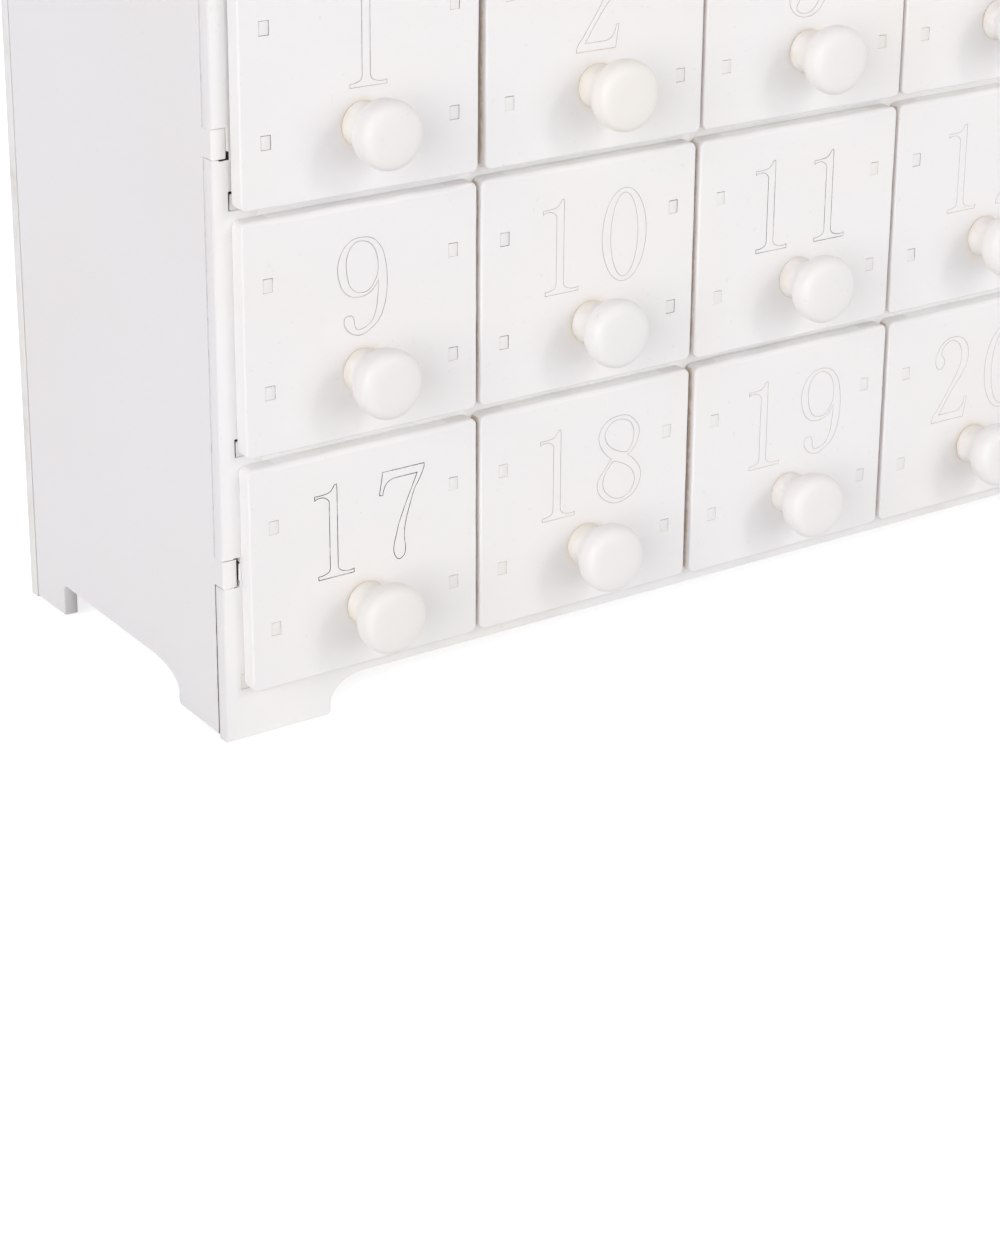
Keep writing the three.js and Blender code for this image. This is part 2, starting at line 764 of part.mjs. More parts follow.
// Light string: a lead that lies on the deck, round the left end of the middle layer, with its bulbs
function lightString() {
  const backLane = sideBack - laneInset;
  const frontLane = sideFront + laneInset;
  const turn = (backLane - frontLane) / 2;
  const leftEnd = -innerHalf + laneEnd + turn;
  const rightEnd = innerHalf - laneEnd;
  const entry = boxOffset - turn;
  const inBox = boxFront + boxDepth / 2;
  const route = new THREE.CurvePath();
  const at = (x, y) => new THREE.Vector3(x, y, leadHeight);
  const straightEnd = panelFront - leadStraight;
  route.add(new THREE.LineCurve3(at(boxOffset, inBox), at(boxOffset, straightEnd)));
  route.add(
    new THREE.QuadraticBezierCurve3(at(boxOffset, straightEnd), at(boxOffset, backLane), at(entry, backLane)),
  );
  route.add(new THREE.LineCurve3(at(entry, backLane), at(leftEnd, backLane)));
  const reach = turn * (4 / 3);
  route.add(
    new THREE.CubicBezierCurve3(
      at(leftEnd, backLane),
      at(leftEnd - reach, backLane),
      at(leftEnd - reach, frontLane),
      at(leftEnd, frontLane),
    ),
  );
  route.add(new THREE.LineCurve3(at(leftEnd, frontLane), at(rightEnd, frontLane)));
  const section = new THREE.Shape();
  section.absarc(0, 0, leadRadius, 0, 2 * Math.PI, false);
  const lead = new THREE.ExtrudeGeometry(section, {
    steps: leadSteps,
    curveSegments: leadSides,
    extrudePath: route,
  });
  const bulbs = [];
  for (let index = 0; index < bulbsPerLane; index += 1) {
    const share = (index + 0.5) / bulbsPerLane;
    bulbs.push([leftEnd + share * (entry - leftEnd), backLane]);
    bulbs.push([leftEnd + share * (rightEnd - leftEnd), frontLane]);
  }
  return join([solidFrom(lead), ...bulbs.map(([x, y]) => bulb(x, y))]);
}

function bulb(x, y) {
  const neck = bulbHeight - bulbRadius;
  const profile = [
    [0, 0],
    [bulbRadius, 0],
    [bulbRadius, neck],
    [bulbRadius * Math.SQRT1_2, neck + bulbRadius * Math.SQRT1_2],
    [0, bulbHeight],
  ].map(([r, up]) => new THREE.Vector2(r, up));
  const geometry = new THREE.LatheGeometry(profile, bulbSides);
  geometry.rotateX(Math.PI / 2);
  geometry.translate(x, y, leadHeight);
  return solidFrom(geometry);
}

// Battery box: a shell with a cell bay that opens to the back, and a closed switch room above it
const bayLow = boxBottom + boxWall;
const bayHigh = bayLow + bayHeight;
const roomLow = bayHigh + boxWall;
const roomHigh = boxTop - boxWall;
const grooveBack = boxBack - lipThickness;
const grooveFront = grooveBack - coverThickness - 2 * coverClearance;
const switchHeight = (roomLow + roomHigh) / 2;

function batteryBox() {
  const half = boxWidth / 2;
  const inner = half - boxWall;
  const shell = frontSheet(
    roundedRectangle(boxOffset - half, boxOffset + half, boxBottom, boxTop, boxCorner),
    boxFront,
    boxDepth,
  );
  const floorOfBay = boxFront + boxWall;
  const slotHalf = (sliderWidth + switchTravel) / 2 + sliderClearance;
  const across = [boxOffset - inner, boxOffset + inner];
  return cut(shell, [
    block(across, [floorOfBay, boxBack + overrun], [bayLow, bayHigh]),
    block(
      [boxOffset - inner - grooveDepth, boxOffset + inner + grooveDepth],
      [grooveFront, grooveBack],
      [boxBottom - overrun, bayHigh],
    ),
    block(across, [grooveFront, boxBack + overrun], [boxBottom - overrun, bayLow + overrun]),
    block(across, [floorOfBay, boxBack - boxWall], [roomLow, roomHigh]),
    block(
      [boxOffset - slotHalf, boxOffset + slotHalf],
      [boxBack - boxWall - overrun, boxBack + overrun],
      [switchHeight - sliderHeight / 2 - sliderClearance, switchHeight + sliderHeight / 2 + sliderClearance],
    ),
    barAlongY(leadHole, leadHoleSides, boxOffset, leadHeight, [boxFront - overrun, floorOfBay + overrun]),
  ]);
}

// Cover: slides down and out of the box's grooves, with finger ribs near its lower end
function batteryCover() {
  const half = boxWidth / 2 - boxWall + grooveDepth - coverClearance;
  const front = grooveFront + coverClearance;
  const ribHalf = boxWidth / 4;
  const ribs = [];
  for (let index = 0; index < gripCount; index += 1) {
    const low = bayLow + 2 * gripPitch + index * gripPitch;
    ribs.push(
      block(
        [boxOffset - ribHalf, boxOffset + ribHalf],
        [front + coverThickness / 2, front + coverThickness + gripRise],
        [low, low + gripHeight],
      ),
    );
  }
  return join([
    block(
      [boxOffset - half, boxOffset + half],
      [front, front + coverThickness],
      [boxBottom, bayHigh - coverClearance],
    ),
    ...ribs,
  ]);
}

// Slide switch: a cap in the slot and a flange that keeps it behind the wall. It rests at its off end.
function switchSlider() {
  const x = boxOffset - switchTravel / 2;
  const inner = boxBack - boxWall - seam;
  const upright = (grow) => [switchHeight - sliderHeight / 2 - grow, switchHeight + sliderHeight / 2 + grow];
  const across = (grow) => [x - sliderWidth / 2 - grow, x + sliderWidth / 2 + grow];
  return join([
    block(across(0), [inner - flangeThickness / 2, boxBack + sliderProud], upright(0)),
    block(across(flangeMargin), [inner - flangeThickness, inner], upright(flangeMargin)),
  ]);
}

// Cell: stands in the bay with its nub up or down
function cellGeometry(side) {
  const profile = [
    [0, 0],
    [cellRadius, 0],
    [cellRadius, cellLength],
    [nubRadius, cellLength],
    [nubRadius, cellLength + nubLength],
    [0, cellLength + nubLength],
  ].map(([r, along]) => new THREE.Vector2(r, along));
  const geometry = new THREE.LatheGeometry(profile, cellSides);
  const halfTurn = side > 0 ? Math.PI : 0;
  geometry.rotateX(Math.PI / 2 + halfTurn);
  const reach = side > 0 ? cellLength + nubLength : 0;
  geometry.translate(
    boxOffset + side * (cellRadius + seam / 2),
    boxFront + boxWall + seam + cellRadius,
    bayLow + cellEndRoom + reach,
  );
  return geometry;
}

// The assembly

const calendar = new THREE.Group();
calendar.position.y = -footprintMiddle;

function addPiece(name, geometry, material, parent = calendar) {
  const mesh = new THREE.Mesh(geometry, material);
  mesh.name = name;
  parent.add(mesh);
}

addPiece("front_frame", geometryFrom(frontFrame()), whitePaint);
addPiece("left_side", geometryFrom(sidePanel(-halfWidth)), whiteEdge);
addPiece("right_side", geometryFrom(sidePanel(innerHalf)), whiteEdge);
addPiece("back_panel", geometryFrom(backPanel()), whiteEdge);
addPiece("shelf_crate", geometryFrom(shelfCrate()), whiteEdge);
addPiece("village_layer", geometryFrom(villageLayer()), whitePaint);
addPiece("light_string", geometryFrom(lightString()), bulbGlass);
addPiece("battery_box", geometryFrom(batteryBox()), boxPlastic);
addPiece("battery_cover", geometryFrom(batteryCover()), boxPlastic);
addPiece("switch_slider", geometryFrom(switchSlider()), switchPlastic);
addPiece("cell_left", cellGeometry(-1), cellSleeve);
addPiece("cell_right", cellGeometry(1), cellSleeve);

// Drawers are numbered along the rows, from the top row down
const drawerGeometry = geometryFrom(drawer());
const knobShape = knobGeometry();
for (let row = 0; row < rows; row += 1) {
  for (let column = 0; column < columns; column += 1) {
    const number = String(row * columns + column + 1).padStart(2, "0");
    const place = new THREE.Group();
    place.position.set(columnMiddle(column), 0, lowestFront + (rows - 1 - row) * rowPitch);
    place.userData.travel = drawerTravel;
    addPiece("drawer_" + number, drawerGeometry, frontPaint, place);
    addPiece("knob_" + number, knobShape, knobPaint, place);
    calendar.add(place);
  }
}

export default calendar;
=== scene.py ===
import math
import random

import bmesh
import bpy
import numpy as np
from mathutils import Matrix, Vector
from mathutils.geometry import delaunay_2d_cdt


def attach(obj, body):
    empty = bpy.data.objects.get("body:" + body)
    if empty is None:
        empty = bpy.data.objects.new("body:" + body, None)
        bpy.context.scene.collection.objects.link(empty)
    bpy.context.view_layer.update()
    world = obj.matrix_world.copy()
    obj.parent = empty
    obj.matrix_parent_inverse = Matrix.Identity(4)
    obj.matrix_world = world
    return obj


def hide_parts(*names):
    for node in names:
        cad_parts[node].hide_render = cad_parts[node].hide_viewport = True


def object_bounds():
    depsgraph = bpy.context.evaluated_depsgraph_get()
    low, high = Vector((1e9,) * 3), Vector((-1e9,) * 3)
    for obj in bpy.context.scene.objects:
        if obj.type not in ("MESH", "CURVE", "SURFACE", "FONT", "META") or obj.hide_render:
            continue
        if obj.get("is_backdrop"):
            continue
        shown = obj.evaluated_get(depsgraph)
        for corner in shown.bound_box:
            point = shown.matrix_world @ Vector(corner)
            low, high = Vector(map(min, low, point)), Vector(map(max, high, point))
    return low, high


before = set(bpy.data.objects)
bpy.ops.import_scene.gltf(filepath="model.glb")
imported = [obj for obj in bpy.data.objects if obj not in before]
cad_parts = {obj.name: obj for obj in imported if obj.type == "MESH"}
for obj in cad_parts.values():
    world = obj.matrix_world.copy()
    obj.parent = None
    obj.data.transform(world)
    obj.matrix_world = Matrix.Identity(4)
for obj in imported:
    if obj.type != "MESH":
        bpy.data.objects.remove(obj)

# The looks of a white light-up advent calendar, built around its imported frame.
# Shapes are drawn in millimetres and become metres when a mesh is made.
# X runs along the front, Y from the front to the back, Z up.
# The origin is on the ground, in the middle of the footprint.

packed_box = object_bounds()
scene = bpy.context.scene
MM = 0.001

# Cabinet sizes, the same as the frame's
SHEET = 3.0
SEAM = 0.3
HAIRLINE = 0.05
COLUMNS = 8
ROWS = 3
COLUMN_PITCH = 50.4
ROW_PITCH = 46.0
FIRST_COLUMN = -176.4
LOWEST_FRONT = 10.6
FRONT_WIDTH = 49.0
FRONT_HEIGHT = 44.0
FRAME_FACE = -44.5
CRATE_FRONT = -41.2
CRATE_BACK = 34.9
PANEL_FACE = 35.2
VILLAGE_FACE = -4.2
INNER_HALF = 201.8
SHELF_TOPS = (13.2, 59.2, 105.2, 151.2)
DECK_TOP = SHELF_TOPS[-1]
FRONT_FACE = FRAME_FACE - SEAM - SHEET
FRONT_THICK = SHEET + SEAM - HAIRLINE
KNOB_HEIGHT = 12.5


# --- Mesh work ---------------------------------------------------------------

# Two packed points, or two levels, this near in metres are the same
SAME_POINT = 2e-6
SAME_LEVEL = 1e-5

# An inset's mitres are cut short at sharp corners. Where a run would shrink below a share of
# itself, its ends move less, in a few tries.
MITRE_LIMIT = 0.35
RUN_LEFT = 0.1
INSET_EASE = 0.7
INSET_TRIES = 12

# A bend sharper than this, in degrees, is a corner, unless it belongs to a small chamfer
CORNER_BEND = 32.0
CHAMFER_BEND = 50.0
CHAMFER_RUN = 1.0
LONG_RUN = 2.6

# The engraved line: its width and depth, and its cross-section as shares of them
LINE_WIDTH = 0.15
LINE_DEPTH = 0.16
LINE_SHAPE = ((0.5, 0.0), (0.2, 1.0), (-0.2, 1.0), (-0.5, 0.0))

BOARD_SHARP = 34.0
TRIANGLE_BATCH = 2000


def turned_left(a, b):
    """Unit vector to the left of the way from a to b."""
    along = (b - a).normalized()
    return Vector((-along.y, along.x))


def inset_loop(loop, distance):
    """The loop moved to its left by a distance, with mitred corners."""
    count = len(loop)
    runs = [loop[(index + 1) % count] - point for index, point in enumerate(loop)]
    ways = []
    for index in range(count):
        both = (runs[index - 1], runs[index])
        before, after = (Vector((-run.y, run.x)).normalized() for run in both)
        ways.append((before + after) / max(1 + before.dot(after), MITRE_LIMIT))
    reach = [distance] * count
    for _ in range(INSET_TRIES):
        moved = [point + way * far for point, way, far in zip(loop, ways, reach)]
        turned = set()
        for index, run in enumerate(runs):
            after = (index + 1) % count
            if (moved[after] - moved[index]).dot(run) < RUN_LEFT * run.dot(run):
                turned |= {index, after}
        if not turned:
            break
        for index in turned:
            reach[index] *= INSET_EASE
    return moved


def loop_area(loop):
    """Signed area of a loop, positive where it runs anticlockwise."""
    return sum(a.x * b.y - b.x * a.y for a, b in zip(loop, loop[1:] + loop[:1])) / 2


def eased_loop(points, corners=None, step=7.0):
    """A closed loop drawn again with its stepped arcs as fine curves. Corners stay as they are."""
    count = len(points)
    ways = [points[(i + 1) % count] - points[i] for i in range(count)]
    runs = [way.length for way in ways]
    heads = [way.normalized() for way in ways]
    tangents = []
    for index in range(count):
        before, after = heads[index - 1], heads[index]
        bend = math.degrees(before.angle(after, 0.0))
        if corners is None:
            small = min(runs[index - 1], runs[index]) < CHAMFER_RUN and bend < CHAMFER_BEND
            corner = bend > CORNER_BEND and not small
        else:
            corner = index in corners
        if corner:
            tangents.append(None)
        elif runs[index - 1] > LONG_RUN * runs[index]:
            tangents.append(before)
        elif runs[index] > LONG_RUN * runs[index - 1]:
            tangents.append(after)
        else:
            tangents.append((before * runs[index] + after * runs[index - 1]).normalized())
    drawn = []
    for index in range(count):
        start, end = points[index], points[(index + 1) % count]
        head, run = heads[index], runs[index]
        leave, arrive = tangents[index], tangents[(index + 1) % count]
        if leave is None and arrive is None:
            leave = arrive = head
        elif leave is None:
            leave = (2 * head.dot(arrive) * head - arrive).normalized()
        elif arrive is None:
            arrive = (2 * head.dot(leave) * head - leave).normalized()
        bend = math.degrees(head.angle(leave, 0.0) + head.angle(arrive, 0.0))
        pieces = max(1, math.ceil(bend / step)) if bend > 0.4 else 1
        for piece in range(pieces):
            t = piece / pieces
            drawn.append(
                start * (2 * t**3 - 3 * t**2 + 1)
                + leave * run * (t**3 - 2 * t**2 + t)
                + end * (-2 * t**3 + 3 * t**2)
                + arrive * run * (t**3 - t**2)
            )
    return drawn


def sheet_loops(name, across):
    """The outline and holes of a packed sheet, read from its flat face, in millimetres."""
    work = bmesh.new()
    work.from_mesh(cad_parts[name].data)
    bmesh.ops.remove_doubles(work, verts=work.verts, dist=SAME_POINT)
    level = min(vert.co[across] for vert in work.verts) + SAME_LEVEL
    faces = [face for face in work.faces if all(vert.co[across] < level for vert in face.verts)]
    flat = set(faces)
    follow = {}
    for face in faces:
        for corner in face.loops:
            if not any(other in flat for other in corner.edge.link_faces if other is not face):
                follow[corner.vert] = corner.link_loop_next.vert
    u, v = (axis for axis in range(3) if axis != across)
    loops = []
    while follow:
        vert = next(iter(follow))
        loop = []
        while vert in follow:
            loop.append(Vector((vert.co[u], vert.co[v])) / MM)
            vert = follow.pop(vert)
        loops.append(loop)
    work.free()
    loops = [straightened(loop) for loop in loops]
    loops.sort(key=lambda loop: -abs(loop_area(loop)))
    if loop_area(loops[0]) < 0:
        loops = [loop[::-1] for loop in loops]
    return loops


def straightened(loop):
    """The loop without the points that lie on a straight run."""
    kept = []
    for index, point in enumerate(loop):
        before = point - loop[index - 1]
        after = loop[(index + 1) % len(loop)] - point
        if min(before.length, after.length) > 1e-4 and before.angle(after) > math.radians(0.5):
            kept.append(point)
    return kept


def points_of(pairs):
    return [Vector(pair) for pair in pairs]


def rectangle(u0, u1, v0, v1):
    return points_of([(u0, v0), (u1, v0), (u1, v1), (u0, v1)])


def arc(u, v, across, tall, degrees):
    """Points on an ellipse round (u, v)."""
    turns = [math.radians(angle) for angle in degrees]
    return [Vector((u + across * math.cos(t), v + tall * math.sin(t))) for t in turns]


def rounded_rectangle(u0, u1, v0, v1, radius, steps=7):
    loop = []
    for u, v, turn in (
        (u1 - radius, v0 + radius, -90),
        (u1 - radius, v1 - radius, 0),
        (u0 + radius, v1 - radius, 90),
        (u0 + radius, v0 + radius, 180),
    ):
        loop += arc(u, v, radius, radius, [turn + 90 * step / steps for step in range(steps + 1)])
    return loop


def outwards(mesh):
    """Turns the faces of closed shells outwards."""
    work = bmesh.new()
    work.from_mesh(mesh)
    bmesh.ops.recalc_face_normals(work, faces=work.faces)
    work.to_mesh(mesh)
    work.free()


def placed_object(name, data):
    piece = bpy.data.objects.new(name, data)
    scene.collection.objects.link(piece)
    return piece


class Bench:
    """One piece while it is being made: points in millimetres, faces, and what each of them is."""

    def __init__(self, axis):
        self.axis = axis
        self.points = []
        self.cut = []
        self.faces = []
        self.flat = []
        self.skin = []

    def stand(self, flat_point, level):
        """A point of a flat drawing, at a level along the axis."""
        u, v = flat_point
        return {"x": (level, u, v), "y": (u, level, v), "z": (u, v, level)}[self.axis]

    def ring(self, loop, level, cut):
        start = len(self.points)
        self.points += [self.stand(point, level) for point in loop]
        self.cut += [cut] * len(loop)
        return list(range(start, len(self.points)))

    def face(self, corners, flat, skin=0):
        self.faces.append(corners)
        self.flat.append(flat)
        self.skin.append(skin)

    def strips(self, path, skin=0):
        """Faces between each ring of a path and the next."""
        for one, other in zip(path, path[1:]):
            for index in range(len(one)):
                after = (index + 1) % len(one)
                self.face((one[index], one[after], other[after], other[index]), False, skin)

    def cap(self, rings, loops, level):
        """Fills a flat face between rings, which are its outline, holes and islands."""
        flat_points = [point for loop in loops for point in loop]
        numbers = [number for ring in rings for number in ring]
        edges = []
        start = 0
        for loop in loops:
            count = len(loop)
            edges += [(start + i, start + (i + 1) % count) for i in range(count)]
            start += count
        made, _, triangles, origins, _, _ = delaunay_2d_cdt(flat_points, edges, [], 0, 1e-6)
        places = []
        for point, origin in zip(made, origins):
            places.append(numbers[origin[0]] if origin else self.ring([point], level, 0)[0])
        a = np.array([flat_points[i] for i, _ in edges])
        b = np.array([flat_points[j] for _, j in edges])
        at = np.array([list(point) for point in made])
        rise = b[:, 1] - a[:, 1]
        rise[np.abs(rise) < 1e-12] = 1e-12
        for batch in range(0, len(triangles), TRIANGLE_BATCH):
            part = triangles[batch : batch + TRIANGLE_BATCH]
            middle = np.array([at[list(t)].mean(0) for t in part])
            x, y = middle[:, :1], middle[:, 1:]
            spans = (a[:, 1] > y) != (b[:, 1] > y)
            crossing = spans & (x < a[:, 0] + (b[:, 0] - a[:, 0]) * (y - a[:, 1]) / rise)
            for triangle, inside in zip(part, crossing.sum(1) % 2):
                if inside:
                    self.face(tuple(places[i] for i in triangle), True)

    def board(self, loops, low, high, rim, steps=2, hole_rim=None, high_rim=None, grooves=()):
        """A flat board between two levels, with softened rims, and grooves in its low face."""
        bends = [math.radians(90 * step / steps) for step in range(steps + 1)]
        low_rings, high_rings, low_loops, high_loops = [], [], [], []
        for index, loop in enumerate(loops):
            soft = hole_rim if index and hole_rim else rim
            path = []
            for level, way in ((low, 1), (high, -1)):
                radius = high_rim if high_rim and way < 0 and not index else soft
                insets = [inset_loop(loop, radius * (1 - math.sin(bend))) for bend in bends[:-1]]
                rings = []
                for step, (bend, line) in enumerate(zip(bends, insets + [loop])):
                    sink = way * radius * (1 - math.cos(bend))
                    rings.append(self.ring(line, level + sink, step / steps))
                (low_loops if way > 0 else high_loops).append(insets[0])
                path += rings[::way]
            self.strips(path)
            low_rings.append(path[0])
            high_rings.append(path[-1])
        for groove in grooves:
            lines = [inset_loop(groove, side * LINE_WIDTH) for side, _ in LINE_SHAPE]
            sinks = [sink * LINE_DEPTH for _, sink in LINE_SHAPE]
            path = [self.ring(line, low + sink, 0) for line, sink in zip(lines, sinks)]
            self.strips(path, 1)
            low_rings += [path[0], path[-1]]
            low_loops += [lines[0], lines[-1]]
        self.cap(low_rings, low_loops, low)
        self.cap(high_rings, high_loops, high)
        return self

    def finished(self, name, skins, seat=Matrix.Identity(4)):
        """The piece as an object in the shared frame, in metres."""
        mesh = bpy.data.meshes.new(name)
        mesh.from_pydata(points_of(self.points), [], self.faces)
        outwards(mesh)
        mesh.set_sharp_from_angle(angle=math.radians(BOARD_SHARP))
        mesh.polygons.foreach_set("use_smooth", [not flat for flat in self.flat])
        mesh.polygons.foreach_set("material_index", self.skin)
        mark_points(mesh, "cut_edge", self.cut)
        mesh.transform(Matrix.Scale(MM, 4) @ seat)
        for skin in skins:
            mesh.materials.append(skin)
        return placed_object(name, mesh)


def mark_points(mesh, label, value):
    """Keeps a value, or one value for each point, on a mesh for its finish to read."""
    data = mesh.attributes.new(label, "FLOAT", "POINT").data
    data.foreach_set("value", value if hasattr(value, "__len__") else [value] * len(data))


def lay_skin(piece, skin, chosen):
    """Gives one more skin to the faces whose every point is chosen, by its place in millimetres."""
    piece.data.materials.append(skin)
    places = [vert.co / MM for vert in piece.data.vertices]
    for face in piece.data.polygons:
        if all(chosen(*places[corner]) for corner in face.vertices):
            face.material_index = len(piece.data.materials) - 1


def hand_over(piece, body, slot, *nodes):
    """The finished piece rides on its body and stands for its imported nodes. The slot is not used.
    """
    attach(piece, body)
    if nodes:
        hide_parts(*nodes)
    return piece


# --- Shader work -------------------------------------------------------------


class Wiring:
    """A node tree while it is being wired. Each step adds a node and gives its output."""

    def __init__(self, tree):
        self.tree = tree

    def plug(self, socket, value):
        if isinstance(value, bpy.types.NodeSocket):
            self.tree.links.new(value, socket)
        elif isinstance(value, tuple) and socket.type == "RGBA":
            socket.default_value = (*value, 1.0)
        else:
            socket.default_value = value

    def node(self, kind, feeds=None, **settings):
        """The outputs of a new node, with its inputs fed by name or number."""
        made = self.tree.nodes.new(kind)
        for key, value in settings.items():
            setattr(made, key, value)
        for key, value in (feeds or {}).items():
            self.plug(made.inputs[key], value)
        return made.outputs

    def calc(self, operation, *values, **settings):
        feeds = dict(enumerate(values))
        return self.node("ShaderNodeMath", feeds, operation=operation, **settings)[0]

    def times(self, one, other):
        return self.calc("MULTIPLY", one, other)

    def plus(self, one, other):
        return self.calc("ADD", one, other)

    def vector_calc(self, operation, feeds):
        return self.node("ShaderNodeVectorMath", feeds, operation=operation)

    def remap(self, value, low, high, to_low=0.0, to_high=1.0, kind="SMOOTHSTEP"):
        feeds = {"Value": value, "From Min": low, "From Max": high}
        feeds |= {"To Min": to_low, "To Max": to_high}
        return self.node("ShaderNodeMapRange", feeds, interpolation_type=kind)[0]

    def mixed(self, share, one, other):
        """Two colours, mixed by a share of the other."""
        return self.node("ShaderNodeMix", {0: share, 6: one, 7: other}, data_type="RGBA")[2]

    def cloud(self, vector, scale, detail=3.0, roughness=0.5, distortion=0.0):
        feeds = {"Vector": vector, "Scale": scale, "Detail": detail}
        feeds |= {"Roughness": roughness, "Distortion": distortion}
        return self.node("ShaderNodeTexNoise", feeds)[0]

    def marked(self, label):
        """What was kept on the mesh under a label."""
        return self.node("ShaderNodeAttribute", attribute_name=label)["Fac"]


class Group(Wiring):
    """A node group with named sockets: (kind, name, value if any)."""

    def __init__(self, name, inputs, outputs, tree_kind="ShaderNodeTree"):
        super().__init__(bpy.data.node_groups.new(name, tree_kind))
        for in_out, sockets in (("INPUT", inputs), ("OUTPUT", outputs)):
            for kind, label, *value in sockets:
                kind = "NodeSocket" + kind
                made = self.tree.interface.new_socket(label, in_out=in_out, socket_type=kind)
                if value:
                    made.default_value = value[0]
        self.given = self.tree.nodes.new("NodeGroupInput").outputs
        self.out = self.tree.nodes.new("NodeGroupOutput").inputs

    def gives(self, **values):
        for label, value in values.items():
            self.plug(self.out[label], value)
        return self.tree


def sprayed_paint_group():
    """Matt sprayed paint: fine grain, soft patches of shade and small flecks."""
    group = Group(
        "sprayed paint",
        [
            ("Vector", "Vector"),
            ("Float", "Grain per metre", 2600.0),
            ("Float", "Patches per metre", 16.0),
        ],
        [("Float", "Height"), ("Float", "Patch"), ("Float", "Fleck")],
    )
    vector, grain = group.given["Vector"], group.given["Grain per metre"]
    fine = group.cloud(vector, grain, 2.0, 0.6)
    peel = group.cloud(vector, group.times(grain, 0.16), 2.0, 0.5)
    wide = group.cloud(vector, group.given["Patches per metre"], 3.0, 0.55, 0.6)
    speck = group.cloud(vector, group.times(grain, 0.34), 1.0, 0.4)
    return group.gives(
        Height=group.plus(group.times(fine, 0.45), group.times(peel, 0.55)),
        Patch=group.remap(wide, 0.38, 0.66),
        Fleck=group.remap(speck, 0.735, 0.79),
    )


def cut_edge_group():
    """What a laser leaves on the cut edge of a fibre sheet, seen through thin paint."""
    group = Group(
        "laser cut edge",
        [("Vector", "Vector"), ("Float", "Edge", 0.0), ("Float", "Thin paint", 0.5)],
        [("Float", "Scorch"), ("Float", "Stria")],
    )
    vector = group.given["Vector"]
    level = group.calc("SUBTRACT", 1.0, group.given["Thin paint"])
    patchy = group.cloud(vector, 90.0, 4.0, 0.6)
    thin = group.remap(patchy, group.times(level, 0.62), group.plus(level, 0.35))
    on_edge = group.remap(group.given["Edge"], 0.35, 1.0)
    lines = group.cloud(vector, 5200.0, 1.0, 0.5)
    return group.gives(Scorch=group.times(thin, on_edge), Stria=group.times(lines, on_edge))


def glue_halo_group():
    """A thin yellowish ring of glue round a knob's foot, on a map that measures from its axis."""
    group = Group(
        "glue halo",
        [
            ("Vector", "From knob"),
            ("Vector", "Vector"),
            ("Float", "Foot", 0.042),
            ("Float", "Reach", 0.03),
        ],
        [("Float", "Halo")],
    )
    vector, foot = group.given["Vector"], group.given["Foot"]
    far = group.vector_calc("LENGTH", {0: group.given["From knob"]})["Value"]
    ragged = group.cloud(vector, 260.0, 3.0, 0.6)
    edge = group.plus(foot, group.times(group.given["Reach"], ragged))
    ring = group.remap(far, foot, edge, 1.0, 0.0)
    broken = group.remap(group.cloud(vector, 34.0, 2.0), 0.36, 0.62)
    return group.gives(Halo=group.times(ring, broken))


SPRAYED = sprayed_paint_group()
SCORCHED = cut_edge_group()
GLUED = glue_halo_group()


class Finish(Wiring):
    """A material while it is being wired, with its Principled BSDF and its object's coordinates."""

    def __init__(self, name):
        self.material = bpy.data.materials.new(name)
        self.material.use_nodes = True
        super().__init__(self.material.node_tree)
        self.shader = self.tree.nodes["Principled BSDF"]
        self.vector = self.node("ShaderNodeTexCoord")["Object"]

    def grouped(self, group, feeds):
        return self.node("ShaderNodeGroup", {"Vector": self.vector, **feeds}, node_tree=group)

    def noise(self, *values):
        return self.cloud(self.vector, *values)

    def stretched(self, scale):
        """The object's coordinates, with another scale upwards."""
        feeds = {"Vector": self.vector, "Scale": (1.0, 1.0, scale)}
        return self.node("ShaderNodeMapping", feeds)[0]

    def done(self, colour, roughness, height, depth, strength, others=None):
        """The material, with the shader's inputs fed and its surface bumped."""
        bump = {"Height": height, "Distance": depth, "Strength": strength}
        feeds = {"Base Color": colour, "Roughness": roughness, **(others or {})}
        feeds["Normal"] = self.node("ShaderNodeBump", bump)[0]
        return self.fed(feeds)

    def fed(self, feeds):
        """The material, with the shader's inputs fed by name."""
        for key, value in feeds.items():
            self.plug(self.shader.inputs[key], value)
        return self.material


def shaded(colour, shares):
    """A colour with each of its parts taken down to a share."""
    return tuple(part * share for part, share in zip(colour, shares))


